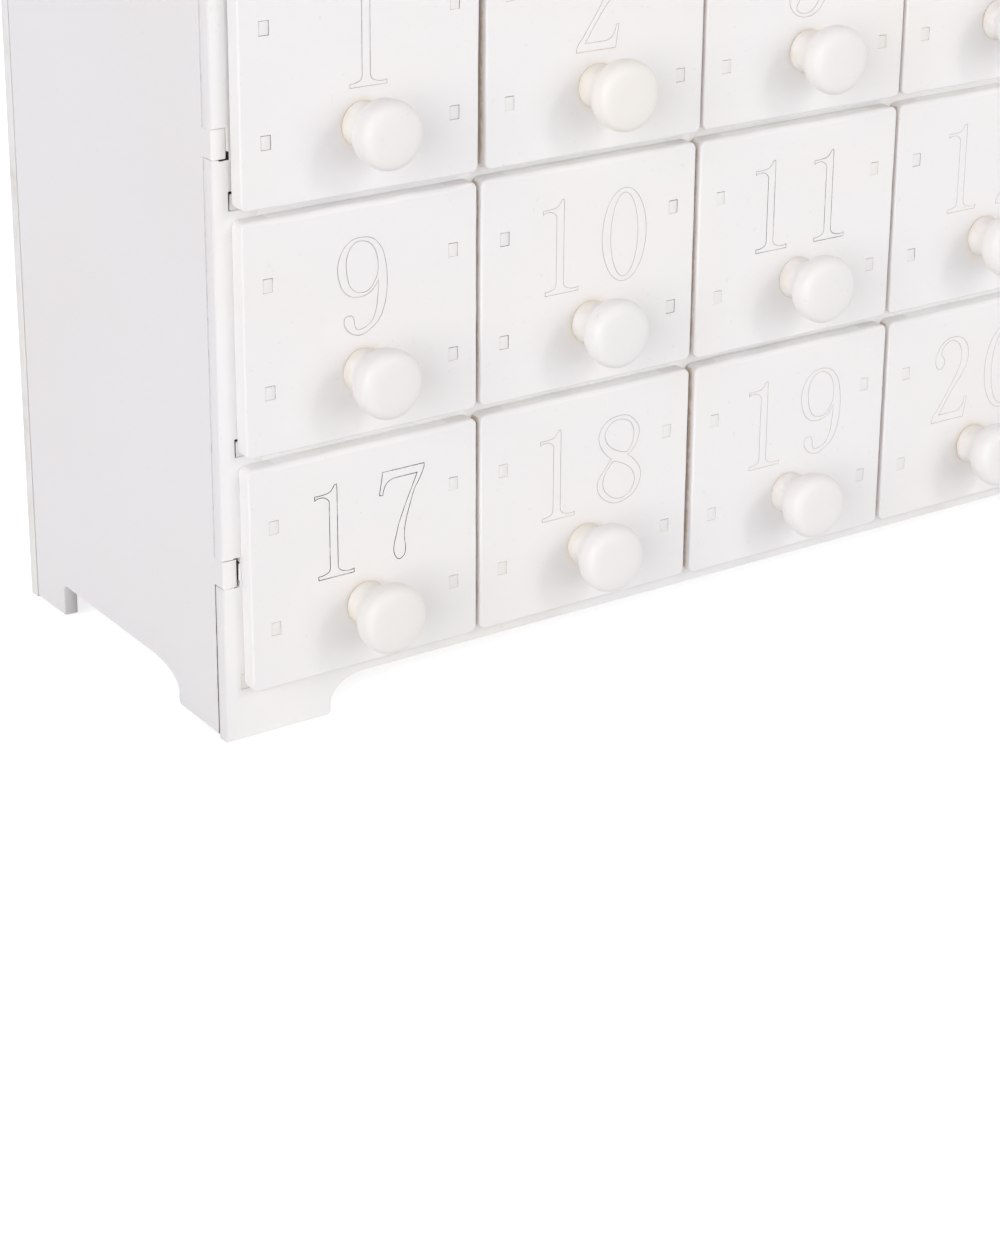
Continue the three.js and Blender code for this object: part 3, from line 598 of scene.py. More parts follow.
def painted(name, white, warm, thin, rough=0.6, halo=None, bare_and_shade=None):
    """White paint on a fibre sheet: warm patches, flecks and laser-cut edges that show through."""
    finish = Finish(name)
    times, mixed, remap = finish.times, finish.mixed, finish.remap
    paint = finish.grouped(SPRAYED, {})
    cut = finish.grouped(SCORCHED, {"Edge": finish.marked("cut_edge"), "Thin paint": thin})
    colour = mixed(paint["Patch"], white, warm)
    cool = remap(finish.noise(9.0, 2.0), 0.42, 0.7, 0.0, 0.5)
    colour = mixed(cool, colour, shaded(white, (0.985, 0.975, 0.985)))
    if halo:
        from_knob = finish.node("ShaderNodeUVMap", uv_map="from_knob")[0]
        ring = finish.grouped(GLUED, {"From knob": from_knob})["Halo"]
        colour = mixed(times(ring, 0.6), colour, halo)
    colour = mixed(times(paint["Fleck"], 0.35), colour, shaded(warm, (0.86, 0.86, 0.86)))
    colour = mixed(times(cut["Scorch"], 0.75), colour, SCORCH)
    # Darkening kept on the mesh: burnt cuts, dark seams, and painted shade in narrow gaps
    if bare_and_shade:
        ragged = remap(finish.noise(500.0), 0.3, 0.7, -0.12, 0.12)
        ragged = finish.plus(finish.marked("bare_and_shade"), ragged)
        colour = mixed(remap(ragged, 0.14, 0.5), colour, bare_and_shade)
    shine = remap(paint["Patch"], 0.0, 1.0, rough - 0.05, rough + 0.06, "LINEAR")
    height = finish.plus(paint["Height"], times(cut["Stria"], 0.8))
    return finish.done(colour, shine, height, 0.00006, 0.6, {"Specular IOR Level": 0.35})


def engraved():
    """The thin burnt line of an engraved numeral. Its strength is kept on the piece."""
    finish = Finish("engraved line")
    uneven = finish.remap(finish.noise(260.0, 3.0, 0.65), 0.34, 0.64, 0.3, 1.25)
    share = finish.calc("MULTIPLY", finish.marked("burn"), uneven, use_clamp=True)
    colour = finish.mixed(share, (0.8, 0.77, 0.74), (0.028, 0.026, 0.027))
    rough = finish.remap(share, 0.0, 1.0, 0.7, 0.9)
    return finish.done(colour, rough, finish.noise(6000.0, 2.0), 0.00004, 0.6)


def knob_paint():
    """Satin white paint on turned wood, yellower in places and at the foot."""
    finish = Finish("knob paint")
    times, mixed, remap = finish.times, finish.mixed, finish.remap
    paint = finish.grouped(SPRAYED, {"Grain per metre": 1700.0, "Patches per metre": 22.0})
    colour = mixed(finish.marked("cream"), (0.83, 0.808, 0.808), (0.85, 0.81, 0.755))
    colour = mixed(times(paint["Patch"], 0.5), colour, (0.84, 0.815, 0.79))
    yellow = times(finish.marked("foot"), remap(finish.noise(240.0), 0.35, 0.6, 0.15, 1.0))
    colour = mixed(times(yellow, 0.6), colour, (0.74, 0.66, 0.53))
    colour = mixed(times(paint["Fleck"], 0.3), colour, (0.7, 0.66, 0.6))
    rough = remap(paint["Patch"], 0.0, 1.0, 0.42, 0.52)
    others = {"Specular IOR Level": 0.4}
    return finish.done(colour, rough, paint["Height"], 0.00008, 0.6, others)


def moulded_plastic(name, colour, worn, rough, grain=1900.0):
    finish = Finish(name)
    paint = finish.grouped(SPRAYED, {"Grain per metre": grain, "Patches per metre": 60.0})
    shade = finish.mixed(finish.times(paint["Patch"], 0.6), colour, worn)
    fleck = finish.times(paint["Fleck"], 0.25)
    shade = finish.mixed(fleck, shade, shaded(worn, (0.7, 0.7, 0.7)))
    roughness = finish.remap(paint["Height"], 0.3, 0.7, rough - 0.06, rough + 0.08)
    return finish.done(shade, roughness, paint["Height"], 0.00005, 0.8)


def metal(name, colour, dull, rough):
    finish = Finish(name)
    marks = finish.cloud(finish.stretched(6.0), 900.0, 3.0, 0.6)
    shade = finish.mixed(finish.remap(marks, 0.4, 0.7), colour, dull)
    roughness = finish.remap(marks, 0.3, 0.7, rough - 0.05, rough + 0.12)
    return finish.done(shade, roughness, marks, 0.00003, 0.4, {"Metallic": 1.0})


def cell_sleeve():
    """Plain shrunk sleeve of a cell in two bands of colour, with fine creases."""
    finish = Finish("cell sleeve")
    band = finish.remap(finish.marked("nub_end"), 0.5, 0.52)
    colour = finish.mixed(band, (0.055, 0.06, 0.066), (0.42, 0.27, 0.12))
    creases = finish.cloud(finish.stretched(0.12), 700.0)
    pale = finish.remap(creases, 0.55, 0.75, 0.0, 0.3)
    colour = finish.mixed(pale, colour, (0.2, 0.2, 0.2))
    rough = finish.remap(creases, 0.3, 0.7, 0.26, 0.4)
    return finish.done(colour, rough, creases, 0.00004, 0.5)


def bulb_lens():
    """Warm clear lens of a small lamp, with a milky body that glows a little round its wire."""
    finish = Finish("bulb lens")
    tip = finish.marked("tip")
    swirl = finish.noise(700.0, 2.0)
    colour = finish.mixed(tip, (0.93, 0.78, 0.5), (1.0, 0.93, 0.78))
    milky = finish.remap(swirl, 0.4, 0.7, 0.0, 0.3)
    colour = finish.mixed(milky, colour, (1.0, 0.86, 0.6))
    glow = finish.mixed(tip, (1.0, 0.62, 0.25), (1.0, 0.8, 0.5))
    rough = finish.remap(swirl, 0.3, 0.7, 0.08, 0.18)
    lit = {"Emission Color": glow, "Emission Strength": 0.45, "Coat Weight": 0.4}
    return finish.done(colour, rough, swirl, 0.00005, 0.5, lit)


# What shows through the paint or on it: scorched and burnt cuts, glue, and a raw-board brown
# painted as shade
SCORCH = (0.50, 0.39, 0.28)
# The black of burnt cuts also stands in for the shade of hairline gaps round tabs, notches and
# slots
BURNT_AND_SHADE = (0.05, 0.04, 0.034)
SIDE_BURNT = (0.17, 0.14, 0.125)
# A raw-board brown, painted as shade in the narrow gaps between the drawer fronts
GAP_SHADE_BROWN = (0.7, 0.585, 0.485)
GLUE = (0.85, 0.79, 0.68)

# Whites and their warmer patches
FRONT_WHITES = (0.868, 0.847, 0.845), (0.876, 0.848, 0.828)
# The sides' white is darker and cooler than the fronts': painted shade of the sides
SHADED_SIDE_WHITES = (0.832, 0.808, 0.818), (0.842, 0.812, 0.806)
SLOT_WHITES = (0.84, 0.822, 0.812), (0.84, 0.8, 0.75)

FRAME_PAINT = painted("frame paint", (0.87, 0.856, 0.848), (0.878, 0.854, 0.832), 0.12, bare_and_shade=BURNT_AND_SHADE)
SHADED_SIDE_PAINT = painted("side paint", *SHADED_SIDE_WHITES, 0.12, bare_and_shade=SIDE_BURNT)
BACK_PAINT = painted("back paint", (0.84, 0.825, 0.822), (0.845, 0.82, 0.79), 0.3)
CRATE_PAINT = painted("shelf paint", (0.84, 0.825, 0.82), (0.845, 0.815, 0.78), 0.35, bare_and_shade=BURNT_AND_SHADE)
VILLAGE_PAINT = painted("village paint", (0.86, 0.846, 0.842), (0.865, 0.838, 0.815), 0.3)
FRONT_PAINT = painted("drawer front paint", *FRONT_WHITES, 0.07, 0.56, GLUE, GAP_SHADE_BROWN)
# A brighter white, painted light that lifts the shade in the gaps between the fronts
GAP_LIGHT_PAINT = painted("thick paint in the gaps", (0.955, 0.947, 0.938), (0.955, 0.94, 0.915), 0.05)
TRAY_PAINT = painted("tray paint", (0.84, 0.82, 0.81), (0.84, 0.805, 0.77), 0.55)
# The slots' walls are darkened as burnt cut and as painted shade of the hairline gaps round the tab
# ends
SLOT_PAINT = painted("paint in the tab slots", *SLOT_WHITES, 0.2, bare_and_shade=BURNT_AND_SHADE)
ENGRAVED = engraved()
KNOB_PAINT = knob_paint()
BOX_PLASTIC = moulded_plastic("battery box plastic", (0.83, 0.815, 0.79), (0.8, 0.785, 0.75), 0.42)
SWITCH_PLASTIC = moulded_plastic("switch plastic", (0.03, 0.03, 0.032), (0.05, 0.05, 0.052), 0.4)
LEAD_PLASTIC = moulded_plastic("lead plastic", (0.8, 0.79, 0.77), (0.74, 0.72, 0.68), 0.35, 5000.0)
CONTACT_STEEL = metal("contact steel", (0.62, 0.61, 0.6), (0.42, 0.41, 0.4), 0.28)
CELL_SLEEVE = cell_sleeve()
BULB_LENS = bulb_lens()


# --- Geometry Nodes work -----------------------------------------------------

WIRE_SIDES = 8
LATHE_HUB = 0.01


class Growth(Group):
    """A Geometry Nodes tree with a geometry in and out, a finish, and named sizes."""

    def __init__(self, name, *sizes):
        geometry = ("Geometry", "Geometry")
        inputs = [geometry, *sizes, ("Material", "Finish")]
        super().__init__(name, inputs, [geometry], "GeometryNodeTree")

    def step(self, kind, feeds=None, **settings):
        """One step of the growth, as its first output."""
        return self.node(kind, feeds, **settings)[0]

    def line(self):
        """The starting mesh as a curve."""
        return self.step("GeometryNodeMeshToCurve", {"Mesh": self.given["Geometry"]})

    def placed(self, geometry):
        feeds = {"Translation": self.given["Place"], "Rotation": self.given["Turn"]}
        return self.step("GeometryNodeTransform", {"Geometry": geometry, **feeds})

    def offset(self, geometry, way, length):
        """The geometry moved along a vector, scaled by a length."""
        far = self.vector_calc("SCALE", {0: way, "Scale": length})[0]
        return self.step("GeometryNodeSetPosition", {"Geometry": geometry, "Offset": far})

    def round_wire(self, curve):
        """Closed round wire along a curve."""
        feeds = {"Resolution": WIRE_SIDES, "Radius": self.given["Wire"]}
        ring = self.step("GeometryNodeCurvePrimitiveCircle", feeds)
        feeds = {"Curve": curve, "Profile Curve": ring, "Fill Caps": True}
        return self.step("GeometryNodeCurveToMesh", feeds)

    def ended(self, geometry):
        """Ends the tree: instances become real, faces are shaded and the material is set."""
        real = self.step("GeometryNodeRealizeInstances", {0: geometry})
        smooth = self.step("GeometryNodeSetShadeSmooth", {"Geometry": real, "Shade Smooth": True})
        feeds = {"Geometry": smooth, "Material": self.given["Finish"]}
        return self.gives(Geometry=self.step("GeometryNodeSetMaterial", feeds))


def evaluated_mesh(piece):
    graph = bpy.context.evaluated_depsgraph_get()
    graph.update()
    return bpy.data.meshes.new_from_object(piece.evaluated_get(graph))


def grown(name, tree, sizes, start, sharp=38.0):
    """Runs a tree on a starting mesh and keeps the result as a plain mesh."""
    piece = placed_object(name, start)
    modifier = piece.modifiers.new(tree.name, "NODES")
    modifier.node_group = tree
    sockets = (item for item in tree.interface.items_tree if item.in_out == "INPUT")
    places = {socket.name: socket.identifier for socket in sockets}
    for label, value in sizes.items():
        modifier[places[label]] = value
    made = evaluated_mesh(piece)
    piece.modifiers.remove(modifier)
    piece.data = made
    bpy.data.meshes.remove(start)
    made.name = name
    outwards(made)
    made.set_sharp_from_angle(angle=math.radians(sharp))
    return piece


def line_mesh(name, points):
    """A mesh of one chain of edges, in millimetres, for a tree to turn or follow."""
    mesh = bpy.data.meshes.new(name)
    edges = [(index, index + 1) for index in range(len(points) - 1)]
    mesh.from_pydata([Vector(point) * MM for point in points], edges, [])
    return mesh


def clamped(share):
    return min(1.0, max(0.0, share))


def turned_piece(name, profile, label, share, sizes):
    """Turns a profile of (radius, level). Each level's share is kept under a label."""
    start = line_mesh(f"{name}_profile", [(radius, level, 0.0) for radius, level in profile])
    mark_points(start, label, [clamped(share(level)) for _, level in profile])
    return grown(name, LATHE, sizes, start)


def repeated(name, pattern, count, pitch, finish):
    """A row of copies of a pattern, which itself goes."""
    start = pattern.data
    bpy.data.objects.remove(pattern)
    return grown(name, ROW, {"Count": count, "Pitch": pitch, "Finish": finish}, start)


def lathe_tree():
    """Turns a profile about the Z axis. The profile is drawn as (radius, height) in X and Y."""
    tree = Growth(
        "turned on a lathe",
        ("Int", "Sides", 56),
        ("Vector", "Place"),
        ("Vector", "Turn"),
        ("Float", "Out of true", 0.0),
        ("Vector", "Seed"),
    )
    feeds = {"Geometry": tree.line(), "Translation": (-LATHE_HUB, 0.0, 0.0)}
    shift = tree.step("GeometryNodeTransform", feeds)
    feeds = {"Resolution": tree.given["Sides"], "Radius": LATHE_HUB}
    circle = tree.step("GeometryNodeCurvePrimitiveCircle", feeds)
    swept = tree.step("GeometryNodeCurveToMesh", {"Curve": circle, "Profile Curve": shift})
    closed = tree.step("GeometryNodeMergeByDistance", {"Geometry": swept, "Distance": 1e-6})
    feeds = {"Geometry": closed, "Rotation": (math.pi, 0.0, 0.0)}
    closed = tree.step("GeometryNodeTransform", feeds)
    at = tree.step("GeometryNodeInputPosition")
    seeded = tree.vector_calc("ADD", {0: at, 1: tree.given["Seed"]})[0]
    feeds = {"Vector": seeded, "Scale": 90.0, "Detail": 1.0}
    wander = tree.node("ShaderNodeTexNoise", feeds)["Color"]
    centred = tree.vector_calc("SUBTRACT", {0: wander, 1: (0.5, 0.5, 0.5)})[0]
    return tree.ended(tree.placed(tree.offset(closed, centred, tree.given["Out of true"])))


def row_tree():
    """Repeats a piece along a straight row."""
    tree = Growth("repeated in a row", ("Int", "Count", 5), ("Vector", "Pitch"))
    feeds = {"Count": tree.given["Count"], "Offset": tree.given["Pitch"]}
    line = tree.step("GeometryNodeMeshLine", feeds)
    feeds = {"Points": line, "Instance": tree.given["Geometry"]}
    return tree.ended(tree.step("GeometryNodeInstanceOnPoints", feeds))


def spring_tree():
    """A conical contact spring of round wire, wound upwards from its place."""
    tree = Growth(
        "wound contact spring",
        ("Float", "Turns", 4.5),
        ("Float", "Wide end", 0.0045),
        ("Float", "Narrow end", 0.0022),
        ("Float", "Height", 0.0026),
        ("Float", "Wire", 0.0003),
        ("Vector", "Place"),
        ("Vector", "Turn"),
    )
    feeds = {
        "Resolution": 28,
        "Rotations": tree.given["Turns"],
        "Start Radius": tree.given["Wide end"],
        "End Radius": tree.given["Narrow end"],
        "Height": tree.given["Height"],
    }
    return tree.ended(tree.placed(tree.round_wire(tree.step("GeometryNodeCurveSpiral", feeds))))


def lead_tree():
    """Two insulated wires twisted round each other along a route."""
    tree = Growth(
        "twisted pair lead",
        ("Float", "Wire", 0.0003),
        ("Float", "Apart", 0.0003),
        ("Float", "Twist length", 0.012),
        ("Float", "Step", 0.0015),
    )
    feeds = {"Curve": tree.line(), "Length": tree.given["Step"]}
    route = tree.step("GeometryNodeResampleCurve", feeds, mode="LENGTH")
    along = tree.node("GeometryNodeSplineParameter")["Length"]
    turn = tree.calc("DIVIDE", tree.times(along, 2 * math.pi), tree.given["Twist length"])
    normal, tangent = tree.step("GeometryNodeInputNormal"), tree.step("GeometryNodeInputTangent")
    both = tree.tree.nodes.new("GeometryNodeJoinGeometry")
    for half_turn in (0.0, math.pi):
        feeds = {"Vector": normal, "Axis": tangent, "Angle": tree.plus(turn, half_turn)}
        away = tree.node("ShaderNodeVectorRotate", feeds)[0]
        strand = tree.round_wire(tree.offset(route, away, tree.given["Apart"]))
        tree.plug(both.inputs[0], strand)
    return tree.ended(both.outputs[0])


LATHE = lathe_tree()
ROW = row_tree()
SPRING = spring_tree()
LEAD = lead_tree()


# --- Cabinet sheets ----------------------------------------------------------

# Rims, the smallest hole that stays open, by its area, and how near two places are the same
SHEET_RIM = 0.28
HOLE_RIM = 0.14
SMALLEST_HOLE = 2.0
NEAR = 0.02

# The frame's edge notches hold the sides' tabs, and paint fills a part of each. By the notch's
# level on the frame: its level in the paint, and its inner corner's points from inside outwards
NOTCH_CORNER = 201.4
NOTCH_LEVELS = {111.5: 111.68, 117.3: 117.12, 30.8: 30.96, 36.6: 36.45}
NOTCH_CORNERS = {
    111.5: ((201.76, 113.0), (201.35, 112.8), (201.35, 111.45), (203.2, 111.45), (203.2, 111.68)),
    117.3: ((201.76, 117.12),),
    30.8: ((201.58, 32.2), (201.2, 31.9), (201.2, 30.9), (202.4, 30.9), (202.5, 30.96)),
    36.6: ((202.6, 36.45), (202.4, 36.6), (201.1, 36.6), (201.1, 35.9), (201.58, 35.3)),
}

# One valley of the front skyline stands a little higher than on the frame
VALLEY = (66.57, 160.58)
VALLEY_LEVEL = 161.1

# The slots for the shelves' tabs. Foot and top are measured from the shelf's top, on the frame
# and in the paint. The floor's slots are filled, the others are open.
SLOT_SIDES = (195.5, 201.7)
SLOT_REACH = (-3.3, 0.3)
SLOT_OUTER, FILLED_OUTER, OPEN_OUTER = 201.6, 201.42, 201.62
SLOT_FOOT, PAINTED_FOOT = -3.2, -3.05
SLOT_TOP, FILLED_TOP, OPEN_TOP = 0.2, 0.04, 0.45

# Where the frame's cut is burnt black, which also paints the shade of the hairline gaps: in the
# notches, and in the slots of the two shelves and deck
BURNT_NOTCH_SIDES = (201.2, 204.0)
BURNT_NOTCH_LEVELS = ((30.5, 36.9), (111.3, 112.95))
BURNT_SLOT_SIDES = (195.4, 201.9)
BURNT_SLOT_LEVELS = (-2.8, 0.5)

# The seams of a side: from, to, up to a top, open up to a level, how dark below it, and above it
SIDE_SEAMS = ((-41.3, -40.8, 160.0, 31.0, 1.0, 0.17), (34.5, PANEL_FACE, 210.0, 70.0, 0.8, 0.3))

# The ends of a side's tabs, as packed and nearly level with the frame's face
TAB_ENDS, FLUSH_TAB_ENDS = -44.3, -44.42

# Where the skins change: the tabs' ends are painted like the frame, the frame's outermost
# strip like the sides, with their darker white as painted shade on its rim, and between the
# drawer fronts a brighter white is painted light in the gaps
TAB_FACES_TO = -44.1
OUTER_STRIP = 204.45
GAP_PAINT_TO = 201.0


def near(value, target):
    return abs(value - target) < NEAR


def within(value, ends):
    return ends[0] < value < ends[1]


def fitted_frame(loop):
    """The frame's outline with each notch and slot as wide as the paint left it."""
    fitted = []
    for x, z in loop:
        side = math.copysign(1.0, x)
        level = next((level for level in NOTCH_LEVELS if near(z, level)), None)
        if level and near(abs(x), NOTCH_CORNER):
            corner = NOTCH_CORNERS[level]
            corner = corner if side < 0 else corner[::-1]
            fitted += [Vector((side * u, v)) for u, v in corner]
            continue
        z = NOTCH_LEVELS.get(level, z)
        if near(x, VALLEY[0]) and near(z, VALLEY[1]):
            z = VALLEY_LEVEL
        for top in SHELF_TOPS if within(abs(x), SLOT_SIDES) else ():
            filled = top == SHELF_TOPS[0]
            if near(abs(x), SLOT_OUTER) and within(z - top, SLOT_REACH):
                x = side * (FILLED_OUTER if filled else OPEN_OUTER)
            if near(z, top + SLOT_FOOT):
                z = top + PAINTED_FOOT
            elif near(z, top + SLOT_TOP):
                z = top + (FILLED_TOP if filled else OPEN_TOP)
        fitted.append(Vector((x, z)))
    return fitted


def burnt_frame(x, z):
    """Whether a point lies in a notch or a slot, where the cut is burnt and painted as the gap's
    shade.
    """
    if within(abs(x), BURNT_NOTCH_SIDES) and any(within(z, ends) for ends in BURNT_NOTCH_LEVELS):
        return True
    in_level = any(within(z - top, BURNT_SLOT_LEVELS) for top in SHELF_TOPS[1:])
    return within(abs(x), BURNT_SLOT_SIDES) and in_level


def bare_seams(y, z):
    """How dark the side's seams are: open at the foot, filled higher up."""
    for start, end, top, open_to, dark, filled in SIDE_SEAMS:
        if start < y < end and z < top:
            return dark if z < open_to else filled
    return 0.0


def flush_tabs(loop):
    """A side's outline with its tabs nearly level with the frame's face."""
    return [Vector((FLUSH_TAB_ENDS if near(y, TAB_ENDS) else y, z)) for y, z in loop]


def cabinet_sheet(name, node_name, across, low, finish, fit=None, seen_dark=None):
    """A packed sheet drawn again, with its own fit and darkened cuts if it has any; the dark is
    partly painted shade.
    """
    loops = sheet_loops(node_name, across)
    loops = [loop for loop in loops if abs(loop_area(loop)) > SMALLEST_HOLE]
    if fit:
        loops = [fit(loop) for loop in loops]
    bench = Bench("xyz"[across])
    loops = [eased_loop(loop) for loop in loops]
    bench.board(loops, low, low + SHEET, SHEET_RIM, hole_rim=HOLE_RIM)
    piece = bench.finished(name, [finish])
    if seen_dark:
        u, v = (axis for axis in range(3) if axis != across)
        places = zip(bench.points, bench.cut)
        bare_and_shade = [cut * cut * seen_dark(point[u], point[v]) for point, cut in places]
        mark_points(piece.data, "bare_and_shade", bare_and_shade)
    return hand_over(piece, "cabinet", "cabinet_white", node_name)


def in_the_gaps(x, y, z):
    """On the frame's face between the drawer fronts."""
    return abs(x) < GAP_PAINT_TO and y < FRAME_FACE + 0.01 and SHELF_TOPS[0] < z < DECK_TOP


frame_sheet = cabinet_sheet(
    "front_frame_sheet", "front_frame", 1, FRAME_FACE, FRAME_PAINT, fitted_frame, burnt_frame
)
# The frame's face between the fronts gets the brighter white, painted light in the gaps
lay_skin(frame_sheet, GAP_LIGHT_PAINT, in_the_gaps)
# The frame's outermost strip gets the sides' darker white, painted shade that damps its rim's
# highlight
lay_skin(frame_sheet, SHADED_SIDE_PAINT, lambda x, y, z: abs(x) > OUTER_STRIP)
# The sides get their darker white as painted shade, and their tabs' ends the frame's white
for side, low in (("left_side", -INNER_HALF - SHEET), ("right_side", INNER_HALF)):
    side_sheet = cabinet_sheet(f"{side}_sheet", side, 0, low, SHADED_SIDE_PAINT, flush_tabs, bare_seams)
    lay_skin(side_sheet, FRAME_PAINT, lambda x, y, z: y < TAB_FACES_TO)
cabinet_sheet("back_panel_sheet", "back_panel", 1, PANEL_FACE, BACK_PAINT)
cabinet_sheet("village_sheet", "village_layer", 1, VILLAGE_FACE, VILLAGE_PAINT)

# Floor, shelves and deck, with tabs in the front frame's slots, and dividers in half laps
BOARD_RIM = 0.22
SHELF_REACH = INNER_HALF - SEAM
TAB_OUTER = INNER_HALF - 0.4
TAB_INNER = TAB_OUTER - 5.6
TAB_TIP = FRAME_FACE + HAIRLINE
TAB_BARE = 0.5
TAB_END = TAB_TIP + 0.3
DARK_TAB_WALLS = (TAB_TIP + 0.4, CRATE_FRONT - 0.4)
LAP_SLACK = 0.08
LAP_GAP = 0.1
LAP_END = (CRATE_FRONT + CRATE_BACK) / 2
LAP_HALF = SHEET / 2 + LAP_SLACK
DIVIDER_MIDDLES = [-151.2 + COLUMN_PITCH * k for k in range(COLUMNS - 1)]
VILLAGE_TABS = ((-142.6, -120.6), (-22.0, 0.0), (102.3, 124.3))
VILLAGE_SLACK = 0.2
BOARD_NAMES = ("floor_board", "low_shelf", "high_shelf", "deck_board")


def shelf_outline(lapped):
    """A shelf from above: half laps from the back for the dividers, and two tabs at the front."""
    reach, front, back = SHELF_REACH, CRATE_FRONT, CRATE_BACK
    out = (front, front - TAB_BARE, TAB_TIP + TAB_BARE, TAB_TIP)
    loop = [(-reach, front)]
    for left, right in ((-TAB_OUTER, -TAB_INNER), (TAB_INNER, TAB_OUTER)):
        loop += [(left, y) for y in out] + [(right, y) for y in out[::-1]]
    loop += [(reach, front), (reach, back)]
    if lapped:
        for middle in DIVIDER_MIDDLES[::-1]:
            loop += [(middle + LAP_HALF, back), (middle + LAP_HALF, LAP_END)]
            loop += [(middle - LAP_HALF, LAP_END), (middle - LAP_HALF, back)]
    return points_of(loop + [(-reach, back)])


def deck_slots():
    """The deck's slots for the tabs of the village layer."""
    front, back = VILLAGE_FACE - VILLAGE_SLACK, VILLAGE_FACE + SHEET + VILLAGE_SLACK
    slots = [(left - VILLAGE_SLACK, right + VILLAGE_SLACK) for left, right in VILLAGE_TABS]
    return [rectangle(left, right, front, back)[::-1] for left, right in slots]


for level, (top, name) in enumerate(zip(SHELF_TOPS, BOARD_NAMES)):
    loops = [shelf_outline(level in (1, 2))] + (deck_slots() if level == ROWS else [])
    bench = Bench("z").board(loops, top - SHEET, top, BOARD_RIM)
    depths = [y for _, y, _ in bench.points]
    bench.cut = [0.0 if y < TAB_END else cut for y, cut in zip(depths, bench.cut)]
    board = bench.finished(name, [CRATE_PAINT])
    lay_skin(board, FRAME_PAINT, lambda x, y, z: y < TAB_END)
    # Black tab walls in the frame's slots: burnt cut, and painted shade of the hairline gaps
    mark_points(board.data, "bare_and_shade", [float(within(y, DARK_TAB_WALLS)) for y in depths])
    hand_over(board, "cabinet", "cabinet_white", "shelf_crate")


def divider_outline():
    """An upright divider, with laps from the front for the two shelves."""
    low, high = SHELF_TOPS[0] + HAIRLINE, DECK_TOP - SHEET - HAIRLINE
    front, back, lap_back = CRATE_FRONT, CRATE_BACK, LAP_END - LAP_GAP
    loop = [(front, low), (back, low), (back, high), (front, high)]
    for top in SHELF_TOPS[2:0:-1]:
        lap_top, lap_foot = top + LAP_SLACK, top - SHEET - LAP_SLACK
        loop += [(front, lap_top), (lap_back, lap_top), (lap_back, lap_foot), (front, lap_foot)]
    return points_of(loop)


low = DIVIDER_MIDDLES[0] - SHEET / 2
bench = Bench("x").board([divider_outline()], low, low + SHEET, BOARD_RIM)
pattern = bench.finished("divider_pattern", [CRATE_PAINT])
pitch = (COLUMN_PITCH * MM, 0.0, 0.0)
dividers = repeated("dividers", pattern, COLUMNS - 1, pitch, CRATE_PAINT)
hand_over(dividers, "cabinet", "cabinet_white", "shelf_crate")


# --- Numerals ----------------------------------------------------------------

